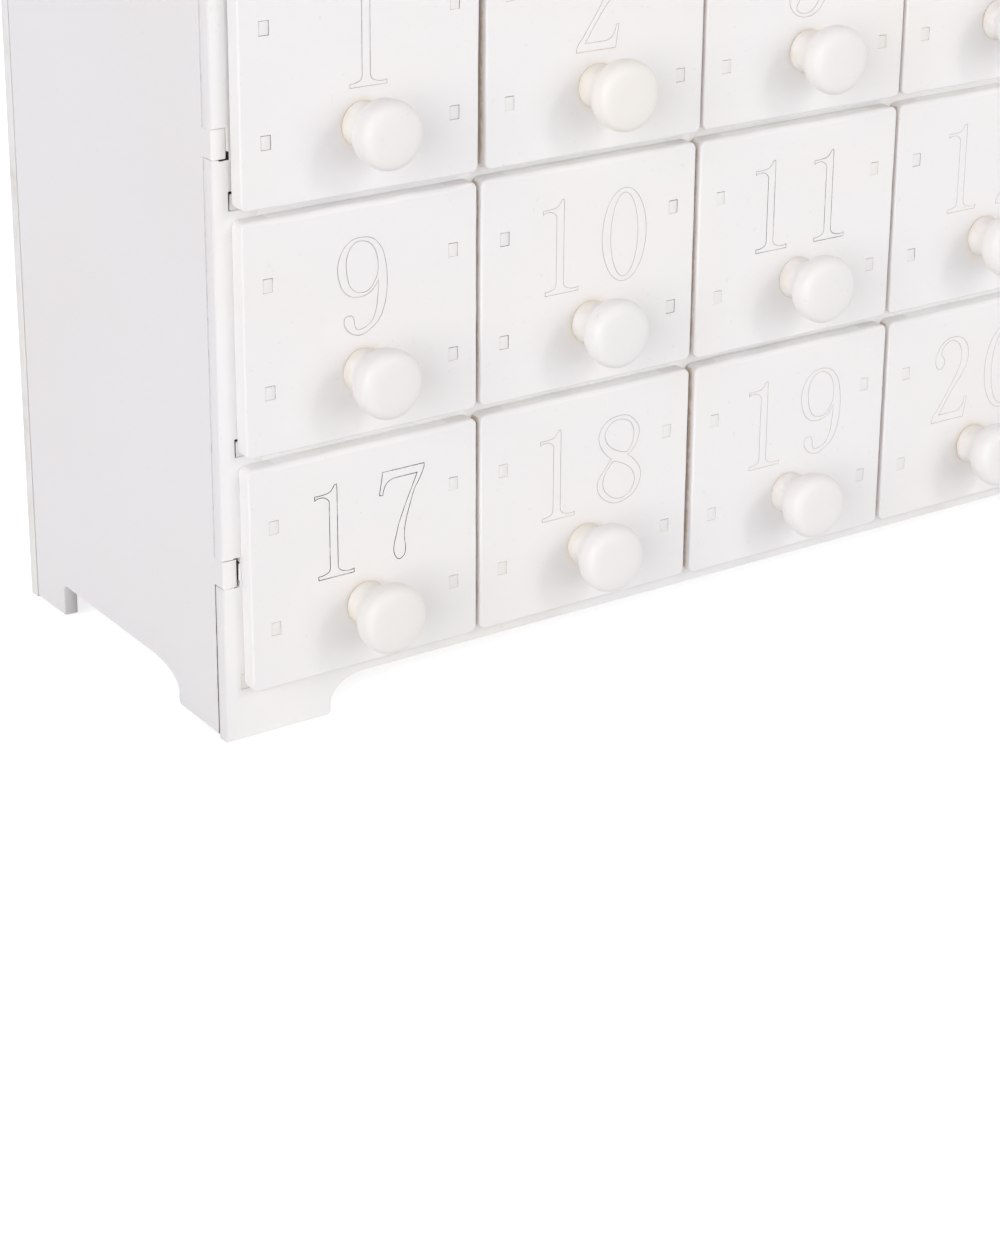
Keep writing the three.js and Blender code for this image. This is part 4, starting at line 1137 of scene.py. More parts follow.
# Outlines of the engraved numerals: x from the left, y up from the foot, "!" at a corner
NUMERALS = {
    "1": [
        "0,17.95! 2,17.98 3.3,18.25 3.95,18.85 4.35,19.55! 4.85,19.65! 4.95,18.4 4.95,2.7"
        " 5.25,1.4 6.2,.85 8.5,.8! 8.5,0! .6,0! .6,.8! 1.9,.9 2.95,1.4 3.2,2.7 3.2,16.1 2.6,17"
        " 0,17.1!",
    ],
    "2": [
        "0,0! 9.2,0! 9.9,4.7! 9.25,4.7! 8.85,3 8,2 6.6,1.65 2,1.65! 3.8,4.5 6,7.7 8.2,10.4"
        " 9.4,12.8 9.7,15.2 9,17.6 7.4,19.2 5.1,19.75 2.8,19.2 1.1,17.7 .35,15.7 .4,13.9"
        " 1.2,12.75 2.2,12.9 2.85,13.9 2.6,15.1 1.9,16 1.95,17 2.9,18.3 4.6,18.95 6.3,18.3"
        " 7.4,16.8 7.8,14.7 7.3,12.3 5.9,9.5 3.6,6 1.4,2.8 .1,.95",
    ],
    "3": [
        ".5,16.3 1.3,18.1 2.9,19.4 4.9,19.75 7.1,19.2 8.5,17.7 8.9,15.6 8.3,13.4 7,11.8"
        " 5.6,10.9! 7.8,9.9 9.4,8.1 9.8,5.6 9.1,2.9 7.3,.8 4.8,0 2.4,.5 .9,1.8 .2,3.6 .5,4.8"
        " 1.5,5.2 2.4,4.6 2.6,3.5 2.1,2.6 2.1,1.8 3,1.05 4.6,.8 6.4,1.5 7.6,3.2 7.95,5.7"
        " 7.4,8.2 6,9.8 4.2,10.35 3.1,10.4! 3.1,11.2! 4.5,11.4 6,12.3 6.9,13.9 7.1,15.9"
        " 6.5,17.8 4.9,18.95 3.2,18.7 2.3,17.9 2.3,17.2 2.8,16.5 2.7,15.5 1.9,14.9 .9,15.2",
    ],
    "4": [
        "5.9,19.7! 7.6,19.7! 7.6,5.9! 9.9,5.9! 9.9,4.9! 7.6,4.9! 7.6,2.3 7.95,1.2 8.7,.8"
        " 9.7,.75! 9.7,0! 3.7,0! 3.7,.75! 4.7,.8 5.5,1.2 5.85,2.3 5.85,4.9! 0,4.9! 0,5.9!",
        "5.85,5.9! 5.85,17.2! 1.1,5.9!",
    ],
    "5": [
        "1.7,19.6! 3.2,19.15 5,19 7,19.25 8.7,19.7! 8.1,18.1 6.7,17.3 4.5,17.1 2.3,17.5!"
        " 2.3,10.9! 3.6,11.9 5.4,12.25 8,11.3 9.6,9 9.9,6.1 9.1,3 7.2,.8 4.6,0 2.3,.5 .8,1.8"
        " .2,3.6 .5,4.8 1.5,5.2 2.4,4.6 2.6,3.5 2.1,2.6 2.1,1.8 3,1.05 4.5,.8 6.3,1.6 7.5,3.5"
        " 7.9,6.3 7.4,9 6.2,10.9 4.7,11.35 3.2,10.7 2.3,9.5! 1.7,9.5!",
    ],
    "7": [
        "-.2,14.9! .6,19.7! 10,19.7! 10,19! 8.8,16.3 7.8,14.8 6.95,12.3 6,9.35 5.45,6.8 5.4,4.7"
        " 5.6,1.9 5.25,.85 4.1,.3 3.2,1.3 2.95,3.2 3.5,5.5 4.1,7.9 5,10.2 6.1,12.85 7.4,15.7"
        " 8.4,18! 3.5,17.97 2.7,17.85 1.6,17.3 .8,15.9 .55,14.8!",
    ],
    "8": [
        "5,19.7 2.9,19.3 1,17.9 .2,16 .5,14 1.7,12 3.4,10.4! 1.5,8 .2,6.3 0,4.4 .9,2.5 2.6,1"
        " 4.3,.3 7,.5 9.4,1.9 10.6,3.9 10.8,6.1 9.8,8.3 7.4,10.5! 9.1,11.9 10.1,14 10.2,16"
        " 9.1,17.9 7,19.5",
        "1.7,16.2 2.4,17.6 4.3,18.8 6.2,18.7 8,17.7 8.9,15.4 8.6,13.2 7.4,11.2! 5.7,11.6"
        " 3.6,12.7 2.2,14.2",
        "3.9,9.8! 6,9 8,7.6 9.2,5.6 9.1,3.6 8,1.9 5.7,1.1 3.3,2 1.5,4.3 1.5,6.3 2.7,8.5",
    ],
    "9": [
        "4.9,19.75 7.6,19.2 9.6,17 10.5,14 10.8,11 10.6,7.3 9.95,4.6 8.9,2.5 7.2,1.05 4.4,.1"
        " 3,.6 2,1.4 1.26,3.1 1.5,4.1 2.2,4.4 2.9,4.3 3.4,3.55 3.58,2.3 4,1.4 5.5,1.4 6.85,2.05"
        " 7.9,3.5 8.5,5.7 8.83,8.4 8.9,10.7! 8.2,9.5 6.5,8.15 4.3,7.85 3.06,8.1 1.2,9.6 .3,11.8"
        " 0,14.2 .65,16.8 1.9,18.6 3.6,19.6",
        "1.86,14.4 2.1,12.2 2.7,10.2 3.9,9 5.1,8.65 6.85,9 7.9,10.2 8.6,11.6 8.83,13 8.75,14.8"
        " 8.2,16.75 7.2,18.2 5.8,18.9 4.4,19 3.06,18.15 2.1,16.35",
    ],
}
NUMERAL_WIDE = 0.965
NUMERAL_TALL = 0.934
NUMERAL_FOOT = 19.2
ROUND_ZERO = ((5.35, 9.85), (3.3, 8.85))
ZERO_MIDDLE = 9.85
NINE_SIZE = (10.8, 19.8)
SINGLE_MIDDLE = 0.0
LONE_ONE_MIDDLE = 1.1
ONES_MIDDLE = 7.95
TENS_MIDDLE = -6.75

# How dark each engraved numeral came out
BURNS = {1: 0.26, 2: 0.15, 3: 0.15, 9: 0.25, 10: 0.1, 11: 0.5, 12: 0.07}
BURNS |= {17: 1.1, 18: 0.11, 19: 0.05, 20: 0.07}


def numeral_points(points):
    """Points of a drawn numeral, at its engraved size."""
    return [Vector((p.x * NUMERAL_WIDE, p.y * NUMERAL_TALL)) for p in points]


def numeral_loops(digit):
    """The outlines of one numeral, centred on its middle, with its foot at zero."""
    if digit == "0":
        ovals = (arc(0.0, ZERO_MIDDLE, *size, range(0, 360, 5)) for size in ROUND_ZERO)
        return [numeral_points(oval) for oval in ovals]
    upside_down = digit == "6"
    loops = []
    for text in NUMERALS["9" if upside_down else digit]:
        words = text.split()
        corners = {index for index, word in enumerate(words) if word.endswith("!")}
        points = [Vector([float(part) for part in word.rstrip("!").split(",")]) for word in words]
        if upside_down:
            points = [Vector((NINE_SIZE[0] - p.x, NINE_SIZE[1] - p.y)) for p in points]
        loops.append(eased_loop(numeral_points(points), corners, step=9.0))
    middle = (min(p.x for p in loops[0]) + max(p.x for p in loops[0])) / 2
    return [[Vector((p.x - middle, p.y)) for p in loop] for loop in loops]


NUMERAL_LOOPS = {digit: numeral_loops(digit) for digit in "0123456789"}


def number_grooves(number):
    """Centre lines of a front's engraved numerals, from the middle of the front's lower edge."""
    digits = str(number)
    middles = (TENS_MIDDLE, ONES_MIDDLE)
    if len(digits) == 1:
        middles = (LONE_ONE_MIDDLE if number == 1 else SINGLE_MIDDLE,)
    grooves = []
    for digit, middle in zip(digits, middles):
        for loop in NUMERAL_LOOPS[digit]:
            grooves.append([Vector((p.x + middle, p.y + NUMERAL_FOOT)) for p in loop])
    return grooves


# --- Drawers -----------------------------------------------------------------

# The front: its outline, its rims, the knob's hole and the wander of its sanded edges
FRONT_HALF = FRONT_WIDTH / 2 + 0.15
FRONT_CORNER = 1.4
FRONT_RIM = 0.42
FRONT_HOLE_RIM = 0.07
FRONT_BACK_RIM = 0.06
RIM_STEPS = 3
KNOB_HOLE = 2.0
SANDED_EVERY = 4.5
SANDED_BY = 0.045

# The tray, joined with laser-cut fingers
TRAY_HALF = 20.45
TRAY_WALL = 2.0
TRAY_INNER = TRAY_HALF - TRAY_WALL
TRAY_LOW = 2.9
TRAY_HIGH = 40.9
TRAY_BACK = 27.2
TRAY_RIM = 0.16
TRAY_FLOOR = (TRAY_LOW + 0.4, TRAY_LOW + 2.0)
FINGERS = 5

# The tray's tabs in the front's slots: how loosely they fit, and how far they are sunk
TAB_X = 19.45
TAB_MIDDLES = (11.85, 31.95)
SLOT_HALF_WIDE = 1.0
SLOT_HALF_TALL = 1.3
NARROWEST_TAB = 1.6
TAB_SLACK = (0.07, 0.36)
TAB_SHIFT = (0.02, 0.07)
TAB_LIFT = 0.04
TAB_FOOT, TAB_HEAD = 1.25, 1.2
TAB_SUNK = 0.06
CLEAN_TAB = 0.2

# How each front sits: shift to the right, shift up, turn in degrees
SEATS = {
    1: (-0.25, 0.05, 0.1),
    2: (0.4, -0.05, -0.05),
    3: (0.2, 0.0, 0.1),
    4: (-0.05, 0.05, 0.05),
    9: (-0.1, 0.0, -0.15),
    10: (-0.3, 0.15, -0.1),
    11: (-0.38, 0.1, -0.1),
    12: (-0.4, 0.1, -0.05),
    17: (0.1, 0.0, -0.25),
    18: (-0.15, 0.2, -0.1),
    19: (0.15, 0.1, -0.1),
    20: (0.15, 0.1, -0.05),
}

# How far a front stands off the frame
STAND_OFF = {1: 0.55, 2: 0.25, 10: 0.1, 11: 0.3, 19: 0.2}

# How dark the cut shows round the tab ends of a front, burnt and painted as the gaps' shade
SLOT_BURNS = {1: 0.6, 2: 0.27, 3: 0.14, 4: 0.18, 9: 0.33, 10: 0.6, 11: 0.08, 12: 0.4}
SLOT_BURNS |= {17: 0.18, 18: 0.2, 19: 0.08, 20: 0.14}

# How much rounder a front's top edge is sanded than its others, fading towards the corners
TOP_EASE = 1.6
EASED_RIM = 0.5
CORNER_FREE = 0.8
CORNER_EASE = 3.0
EASED_CUT = 0.3

# How dark the painted shade is on a front's side in the narrow gap beside a neighbour, from its
# face's rim backwards
HIDDEN_SIDE = 24.45
GAP_SHADE = 0.8
HIDDEN_FROM = 0.4
HIDDEN_RUN = 2.1

# Knobs: the radius of the cap, smaller caps, the radius of the waist, and yellower knobs
CAP_RADIUS = 6.7
SMALL_CAPS = {1: 6.25, 9: 6.5}
WAIST_RADIUS = 3.8
CREAM_KNOBS = {2: 0.85, 17: 0.5}

# The skins of a front, and where the painted light of its upper and lower edges starts
FRONT_SKINS = [FRONT_PAINT, ENGRAVED, GAP_LIGHT_PAINT, SLOT_PAINT]
EDGE_BAND = 0.3
UPPER_EDGE_FROM = 0.6
LOWER_EDGE_FROM = 0.3

# Each drawer's random draws start from this and its number
DRAWER_SEED = 700


def sanded_loop(loop, draw):
    """Adds points along the straight runs, a hair in or out, as hand sanding leaves them."""
    drawn = []
    for index, point in enumerate(loop):
        after = loop[(index + 1) % len(loop)]
        drawn.append(point)
        pieces = int((after - point).length / SANDED_EVERY)
        side = turned_left(point, after)
        for piece in range(1, pieces):
            wander = side * draw.uniform(-SANDED_BY, SANDED_BY)
            drawn.append(point.lerp(after, piece / pieces) + wander)
    return drawn


def front_board(number, draw):
    """A drawer's front with four tab slots, the knob's hole and the engraved number."""
    outline = rounded_rectangle(-FRONT_HALF, FRONT_HALF, 0, FRONT_HEIGHT, FRONT_CORNER)
    loops = [sanded_loop(outline, draw)]
    ends = []
    for side in (-1, 1):
        for middle in TAB_MIDDLES:
            low, high = middle - SLOT_HALF_TALL, middle + SLOT_HALF_TALL
            left, right = side * TAB_X - SLOT_HALF_WIDE, side * TAB_X + SLOT_HALF_WIDE
            loops.append(rectangle(left, right, low, high)[::-1])
            slack = draw.uniform(*TAB_SLACK)
            left += draw.uniform(*TAB_SHIFT)
            lift = draw.uniform(-TAB_LIFT, TAB_LIFT)
            right = max(left + NARROWEST_TAB, right - slack)
            ends.append((left, right, middle - TAB_FOOT + lift, middle + TAB_HEAD + lift))
    loops.append(arc(0.0, KNOB_HEIGHT, KNOB_HOLE, -KNOB_HOLE, range(0, 360, 15)))
    bench = Bench("y")
    grooves = number_grooves(number)
    rims = FRONT_RIM, RIM_STEPS, FRONT_HOLE_RIM, FRONT_BACK_RIM
    bench.board(loops, 0.0, FRONT_THICK, *rims, grooves)
    for index, (x, deep, z) in enumerate(bench.points):
        down = FRONT_HEIGHT - z
        if deep < EASED_RIM and down < EASED_RIM:
            ease = TOP_EASE * clamped((FRONT_HALF - CORNER_FREE - abs(x)) / CORNER_EASE)
            bench.points[index] = (x, deep * (1.0 + ease), FRONT_HEIGHT - down * (1.0 + ease))
            bench.cut[index] *= EASED_CUT
    return bench, ends


def tray_boards(ends):
    """Two sides with tabs in the front, a floor and a back, joined with laser-cut fingers."""
    bench = Bench("x")
    gap = HAIRLINE
    start, length = FRONT_THICK + gap, TRAY_BACK - FRONT_FACE
    wall = length - TRAY_WALL
    tall = (TRAY_HIGH - TRAY_LOW) / FINGERS
    for side in (-1, 1):
        outline = [(start, TRAY_LOW), (length, TRAY_LOW)]
        for finger in range(FINGERS):
            low = TRAY_LOW + finger * tall
            if finger % 2:
                outline += [(wall - gap, low - gap), (wall - gap, low + tall + gap)]
            elif finger:
                outline += [(length, low + gap)]
            if not finger % 2 and finger < FINGERS - 1:
                outline += [(length, low + tall - gap)]
        outline += [(length, TRAY_HIGH), (start, TRAY_HIGH)]
        tabs = sorted((end for end in ends if end[0] * side > 0), key=lambda end: -end[2])
        for _, _, low, high in tabs:
            outline += [(start, high), (TAB_SUNK, high), (TAB_SUNK, low), (start, low)]
        faces = sorted((side * TRAY_HALF, side * TRAY_INNER))
        bench.board([points_of(outline)], *faces, TRAY_RIM)
    for index, (_, deep, _) in enumerate(bench.points):
        if deep < FRONT_THICK - CLEAN_TAB:
            bench.cut[index] = 0.0
    bench.axis = "z"
    inner = TRAY_INNER - gap
    bench.board([rectangle(-inner, inner, start, wall - gap)], *TRAY_FLOOR, TRAY_RIM)
    bench.axis = "y"
    outline = [(-inner, TRAY_LOW), (inner, TRAY_LOW)]
    lows = [TRAY_LOW + finger * tall for finger in range(1, FINGERS, 2)]
    for low in lows:
        outline += [(inner, low), (TRAY_HALF, low), (TRAY_HALF, low + tall), (inner, low + tall)]
    outline += [(inner, TRAY_HIGH), (-inner, TRAY_HIGH)]
    for low in lows[::-1]:
        outline += [(-inner, low + tall), (-TRAY_HALF, low + tall)]
        outline += [(-TRAY_HALF, low), (-inner, low)]
    return bench.board([points_of(outline)], wall, length, TRAY_RIM)


def knob_profile(number, draw):
    """The knob's turned profile as (radius, way out): spigot, foot, waist, cap and crown."""
    cap = SMALL_CAPS.get(number, CAP_RADIUS) + draw.uniform(-0.12, 0.08)
    waist = WAIST_RADIUS + draw.uniform(-0.12, 0.15)
    points = [(0.0, -2.4), (1.3, -2.4), (1.7, -2.0), (1.7, 0.0), (3.88, 0.0), (4.16, 0.12)]
    points += [(4.25, 0.45), (4.1, 1.0), (waist + 0.1, 1.6), (waist, 2.3), (waist + 0.14, 3.1)]
    points += [(waist + 0.5, 4.0), (4.95, 4.9), (5.6, 5.7), (6.15, 6.5), (cap - 0.26, 7.2)]
    points += [(cap - 0.07, 7.8), (cap, 8.4), (cap, 9.3), (cap - 0.1, 9.9), (cap - 0.35, 10.4)]
    points += [(cap - 0.75, 10.85), (cap - 1.3, 11.15), (4.4, 11.3), (3.0, 11.38), (1.5, 11.4)]
    return points + [(0.0, 11.4)]


def seat_of(number, draw):
    """Where a front sits on the cabinet, a little off its place, from its middle's foot."""
    loose = draw.uniform(-0.2, 0.2), draw.uniform(-0.05, 0.2), draw.uniform(-0.22, 0.22)
    shift, lift, turn = SEATS.get(number, loose)
    row, column = divmod(number - 1, COLUMNS)
    x = FIRST_COLUMN + COLUMN_PITCH * column
    z = LOWEST_FRONT + ROW_PITCH * (ROWS - 1 - row)
    place = Vector((x, FRONT_FACE, z))
    place.y -= STAND_OFF.get(number, 0.0)
    pivot = Matrix.Translation(Vector((0.0, 0.0, FRONT_HEIGHT / 2)))
    crooked = pivot @ Matrix.Rotation(math.radians(turn), 4, "Y") @ pivot.inverted()
    return Matrix.Translation(place + Vector((shift, 0.0, lift))) @ crooked


def in_slot(x, z):
    nearest = min(abs(z - middle) for middle in TAB_MIDDLES)
    return abs(abs(x) - TAB_X) < SLOT_HALF_WIDE + 0.15 and nearest < SLOT_HALF_TALL + 0.2


def bare_sides(board, number):
    """How dark each point is: the slot cuts, and painted shade in the narrow gap beside a
    neighbour.
    """
    column = (number - 1) % COLUMNS
    left = -HIDDEN_SIDE if column > 0 else -math.inf
    right = HIDDEN_SIDE if column < COLUMNS - 1 else math.inf
    burnt = SLOT_BURNS.get(number, 0.12 + 0.1 * (number % 4))
    bare_and_shade = []
    for (x, deep, z), cut in zip(board.points, board.cut):
        if left <= x <= right:
            bare_and_shade.append(burnt * cut * cut if in_slot(x, z) else 0.0)
        else:
            # Painted shade: the side in the gap beside a neighbour grows darker from the face
            # backwards
            bare_and_shade.append(GAP_SHADE * clamped((deep - HIDDEN_FROM) / HIDDEN_RUN))
    return bare_and_shade


def lay_front_skins(front, points):
    """Painted light on the upper and lower edges, which lifts their shade in the gaps, and the
    slots' own paint inside them.
    """
    for face in front.data.polygons:
        xs, depths, heights = zip(*(points[corner] for corner in face.vertices))
        nearest, lowest, highest = min(depths), min(heights), max(heights)
        upper = lowest > FRONT_HEIGHT - EDGE_BAND and nearest > UPPER_EDGE_FROM
        if upper or highest < EDGE_BAND and nearest > LOWER_EDGE_FROM:
            face.material_index = FRONT_SKINS.index(GAP_LIGHT_PAINT)
        elif in_slot(min(xs), lowest) and in_slot(max(xs), highest) and nearest < max(depths):
            face.material_index = FRONT_SKINS.index(SLOT_PAINT)


def map_from_knob(mesh, seat):
    """A map that measures from the knob's axis, in tenths of a metre."""
    back = (Matrix.Scale(MM, 4) @ seat).inverted()
    layer = mesh.uv_layers.new(name="from_knob")
    places = [back @ vert.co for vert in mesh.vertices]
    for corner in mesh.loops:
        at = places[corner.vertex_index]
        layer.data[corner.index].uv = (at.x / 100, (at.z - KNOB_HEIGHT) / 100)


def make_drawer(number):
    """A drawer's front, tray and knob. Every drawer has its own random draws."""
    draw = random.Random(DRAWER_SEED + number)
    body = f"drawer_{number:02d}"
    seat = seat_of(number, draw)
    board, ends = front_board(number, draw)
    front = board.finished(f"{body}_front", FRONT_SKINS, seat)
    lay_front_skins(front, board.points)
    mark_points(front.data, "burn", BURNS.get(number, draw.uniform(0.15, 0.45)))
    mark_points(front.data, "bare_and_shade", bare_sides(board, number))
    map_from_knob(front.data, seat)
    hand_over(front, body, "drawer_white", body)
    tray = tray_boards(ends).finished(f"{body}_tray", [TRAY_PAINT], seat)
    hand_over(tray, body, "drawer_white", body)
    aside, up = draw.uniform(-0.2, 0.2), draw.uniform(-0.1, 0.3)
    place = seat @ Vector((aside, -0.03, KNOB_HEIGHT + up))
    profile = knob_profile(number, draw)
    lean = math.radians(90 + draw.uniform(-0.8, 0.8)), 0.0, math.radians(draw.uniform(-0.8, 0.8))
    sizes = {
        "Sides": 56,
        "Place": place * MM,
        "Turn": lean,
        "Out of true": 0.00018,
        "Seed": (draw.uniform(0, 9), draw.uniform(0, 9), 0.0),
        "Finish": KNOB_PAINT,
    }
    name = f"knob_{number:02d}"
    knob = turned_piece(f"{name}_turned", profile, "foot", lambda out: 1.0 - out / 3.2, sizes)
    mark_points(knob.data, "cream", CREAM_KNOBS.get(number, draw.uniform(0.0, 0.3)))
    hand_over(knob, body, "knob_white", name)


for number in range(1, COLUMNS * ROWS + 1):
    make_drawer(number)


# --- Light string ------------------------------------------------------------

LEAD_X = 98.0
LEAD_HEIGHT = 152.1
BACK_LANE = 19.4
FRONT_LANE = -25.7
LANE_LEFT = -165.25
LANE_RIGHT = 187.8
LEAD_TURN = 75.45
LEAD_START = 48.2
LEAD_THROUGH = 29.2
BEND_REACH = -195.3
PAIRS_OF_BULBS = 5
BULB_SEED = 90

SOCKET_PROFILE = [(0.0, -0.6), (1.5, -0.6), (1.75, -0.4), (1.8, 0.0), (1.8, 1.0), (1.65, 1.15)]
SOCKET_PROFILE += [(1.65, 1.45), (1.8, 1.6), (1.8, 2.5), (1.6, 2.7), (0.0, 2.7)]
LENS_PROFILE = [(0.0, 2.3), (1.9, 2.3), (2.3, 2.45), (2.5, 2.75), (2.5, 3.1), (2.35, 3.3)]
LENS_PROFILE += [(2.3, 4.4), (2.2, 5.2), (1.95, 6.0), (1.55, 6.65), (1.0, 7.15), (0.5, 7.35)]
LENS_PROFILE += [(0.0, 7.4)]
LENS_FOOT = 2.3
LENS_TALL = 5.1


def bezier(points, steps):
    """Points along a Bezier curve, without its start."""
    last = len(points) - 1
    xs, ys = zip(*points)
    for step in range(1, steps + 1):
        t = step / steps
        shares = [math.comb(last, k) * t**k * (1 - t) ** (last - k) for k in range(last + 1)]
        yield tuple(sum(a * b for a, b in zip(shares, values)) for values in (xs, ys))


def lead_route():
    """The lead: out of the battery box, along the back, round the left end, along the front."""
    points = [(LEAD_X, LEAD_START), (LEAD_X, LEAD_THROUGH)]
    points += bezier([(LEAD_X, LEAD_THROUGH), (LEAD_X, BACK_LANE), (LEAD_TURN, BACK_LANE)], 8)
    points.append((LANE_LEFT, BACK_LANE))
    bend = [(LANE_LEFT, BACK_LANE), (BEND_REACH, BACK_LANE)]
    bend += [(BEND_REACH, FRONT_LANE), (LANE_LEFT, FRONT_LANE)]
    points += bezier(bend, 24)
    points.append((LANE_RIGHT, FRONT_LANE))
    return [(x, y, LEAD_HEIGHT) for x, y in points]


start = line_mesh("lead_route", lead_route())
lead = grown("string_lead", LEAD, {"Finish": LEAD_PLASTIC}, start, sharp=180.0)
hand_over(lead, "cabinet", "lamp", "light_string")


def bulb_places():
    """By turns on the back lane and on the front lane, from the left."""
    for index in range(PAIRS_OF_BULBS):
        share = (index + 0.5) / PAIRS_OF_BULBS
        for right, lane in ((LEAD_TURN, BACK_LANE), (LANE_RIGHT, FRONT_LANE)):
            yield Vector((LANE_LEFT + share * (right - LANE_LEFT), lane, LEAD_HEIGHT))


def tip_share(up):
    return (up - LENS_FOOT) / LENS_TALL


for index, place in enumerate(bulb_places(), 1):
    draw = random.Random(BULB_SEED + index)
    lean = (math.radians(draw.uniform(-4, 4)), math.radians(draw.uniform(-4, 4)), 0.0)
    for label, profile, finish in (
        ("socket", SOCKET_PROFILE, LEAD_PLASTIC),
        ("lens", LENS_PROFILE, BULB_LENS),
    ):
        sizes = {"Sides": 24, "Place": place * MM, "Turn": lean, "Finish": finish}
        bulb = turned_piece(f"bulb_{index:02d}_{label}", profile, "tip", tip_share, sizes)
        hand_over(bulb, "cabinet", "lamp", "light_string")


# --- Battery box -------------------------------------------------------------

BOX_LEFT, BOX_RIGHT = 80.0, 116.0
BOX_LOW, BOX_HIGH = 72.2, 160.2
BOX_FRONT, BOX_BACK = 38.5, 57.9
BOX_WALL = 1.6
ROOM_LEFT, ROOM_RIGHT = BOX_LEFT + BOX_WALL, BOX_RIGHT - BOX_WALL
BOX_FLOOR = BOX_FRONT + BOX_WALL
BAY_LOW, BAY_HIGH = 73.8, 130.3
ROOM_LOW, ROOM_HIGH = 131.9, 158.6
GROOVE_FRONT, GROOVE_BACK = 54.8, 56.9
GROOVE_DEEP = 0.8
SWITCH_MIDDLE = 145.25
SWITCH_SLOT = (93.7, 102.3)
SWITCH_SLOT_HALF = 2.1
LEAD_HOLE_HALF = 1.0
PAST = 1.0

# The cavities of the box, which reach PAST its faces: left, front and foot, then right, back
# and top
CAVITIES = {
    "bay": ((ROOM_LEFT, BOX_FLOOR, BAY_LOW), (ROOM_RIGHT, BOX_BACK + PAST, BAY_HIGH)),
    "groove": (
        (ROOM_LEFT - GROOVE_DEEP, GROOVE_FRONT, BOX_LOW - PAST),
        (ROOM_RIGHT + GROOVE_DEEP, GROOVE_BACK, BAY_HIGH),
    ),
    "mouth": (
        (ROOM_LEFT, GROOVE_FRONT, BOX_LOW - PAST),
        (ROOM_RIGHT, BOX_BACK + PAST, BAY_LOW + PAST),
    ),
    "room": ((ROOM_LEFT, BOX_FLOOR, ROOM_LOW), (ROOM_RIGHT, BOX_BACK - BOX_WALL, ROOM_HIGH)),
    "slot": (
        (SWITCH_SLOT[0], BOX_BACK - 2.6, SWITCH_MIDDLE - SWITCH_SLOT_HALF),
        (SWITCH_SLOT[1], BOX_BACK + PAST, SWITCH_MIDDLE + SWITCH_SLOT_HALF),
    ),
    "lead_hole": (
        (LEAD_X - LEAD_HOLE_HALF, BOX_FRONT - PAST, LEAD_HEIGHT - LEAD_HOLE_HALF),
        (LEAD_X + LEAD_HOLE_HALF, BOX_FLOOR + PAST, LEAD_HEIGHT + LEAD_HOLE_HALF),
    ),
}


def block_mesh(name, lows, highs):
    mesh = bpy.data.meshes.new(name)
    work = bmesh.new()
    bmesh.ops.create_cube(work, size=1.0)
    work.to_mesh(mesh)
    work.free()
    lows, highs = Vector(lows), Vector(highs)
    middle = Matrix.Translation((lows + highs) / 2 * MM)
    mesh.transform(middle @ Matrix.Diagonal((*((highs - lows) * MM), 1)))
    return mesh


def carved(whole, cutters, bevel):
    """A solid with blocks cut out of it and its edges softened, as a plain mesh."""
    tools = []
    for mesh in cutters:
        tools.append(placed_object(mesh.name, mesh))
        cut = whole.modifiers.new("cut", "BOOLEAN")
        cut.operation = "DIFFERENCE"
        cut.solver = "EXACT"
        cut.object = tools[-1]
    soft = whole.modifiers.new("soft edges", "BEVEL")
    soft.width = bevel * MM
    soft.segments = 2
    soft.limit_method = "ANGLE"
    soft.angle_limit = math.radians(40)
    made = evaluated_mesh(whole)
    whole.modifiers.clear()
    whole.data = made
    for tool in tools:
        bpy.data.objects.remove(tool)
    made.name = whole.name
    made.polygons.foreach_set("use_smooth", [True] * len(made.polygons))
    made.set_sharp_from_angle(angle=math.radians(30))
    return whole


def plate_piece(name, axis, loop, low, high, finish, rim, steps=2):
    return Bench(axis).board([loop], low, high, rim, steps).finished(name, [finish])


outline = rounded_rectangle(BOX_LEFT, BOX_RIGHT, BOX_LOW, BOX_HIGH, 2.0, 9)
shell = plate_piece(
    "battery_box_shell", "y", outline, BOX_FRONT, BOX_BACK, BOX_PLASTIC, 0.6, steps=4
)
cutters = [block_mesh(name, *corners) for name, corners in CAVITIES.items()]
hand_over(carved(shell, cutters, 0.14), "cabinet", "box_plastic", "battery_box")

# The rib between the cells, and the contact plates at both ends of the bay
CELL_DEPTH = 47.6
CELLS = (("left", 90.65, True), ("right", 105.35, False))
CELL_FOOT, CELL_TOP = 76.8, 127.3
PLATE_HALF = 5.2
PLATE_DEPTHS = (41.6, 53.4)
PLATE_THICK = 0.3
outline = rounded_rectangle(96.9, 99.1, 74.4, 129.7, 0.5)
rib = plate_piece("cell_cradle", "y", outline, 40.2, 42.6, BOX_PLASTIC, 0.3)
hand_over(rib, "cabinet", "box_plastic")
for label, x, nub_up in CELLS:
    outline = rounded_rectangle(x - PLATE_HALF, x + PLATE_HALF, *PLATE_DEPTHS, 1.2)
    for end, low in (("low", BAY_LOW + 0.1), ("high", BAY_HIGH - 0.4)):
        name, high = f"contact_{label}_{end}", low + PLATE_THICK
        plate = plate_piece(name, "z", outline, low, high, CONTACT_STEEL, 0.08)
        hand_over(plate, "cabinet", "box_plastic")
    at = BAY_LOW + 0.6 if nub_up else BAY_HIGH - 0.6
    sizes = {
        "Place": Vector((x, CELL_DEPTH, at)) * MM,
        "Turn": (0.0 if nub_up else math.pi, 0.0, 0.0),
        "Height": 0.0020,
        "Finish": CONTACT_STEEL,
    }
    start = bpy.data.meshes.new("spring_seat")
    spring = grown(f"contact_spring_{label}", SPRING, sizes, start, sharp=180.0)
    hand_over(spring, "cabinet", "box_plastic")

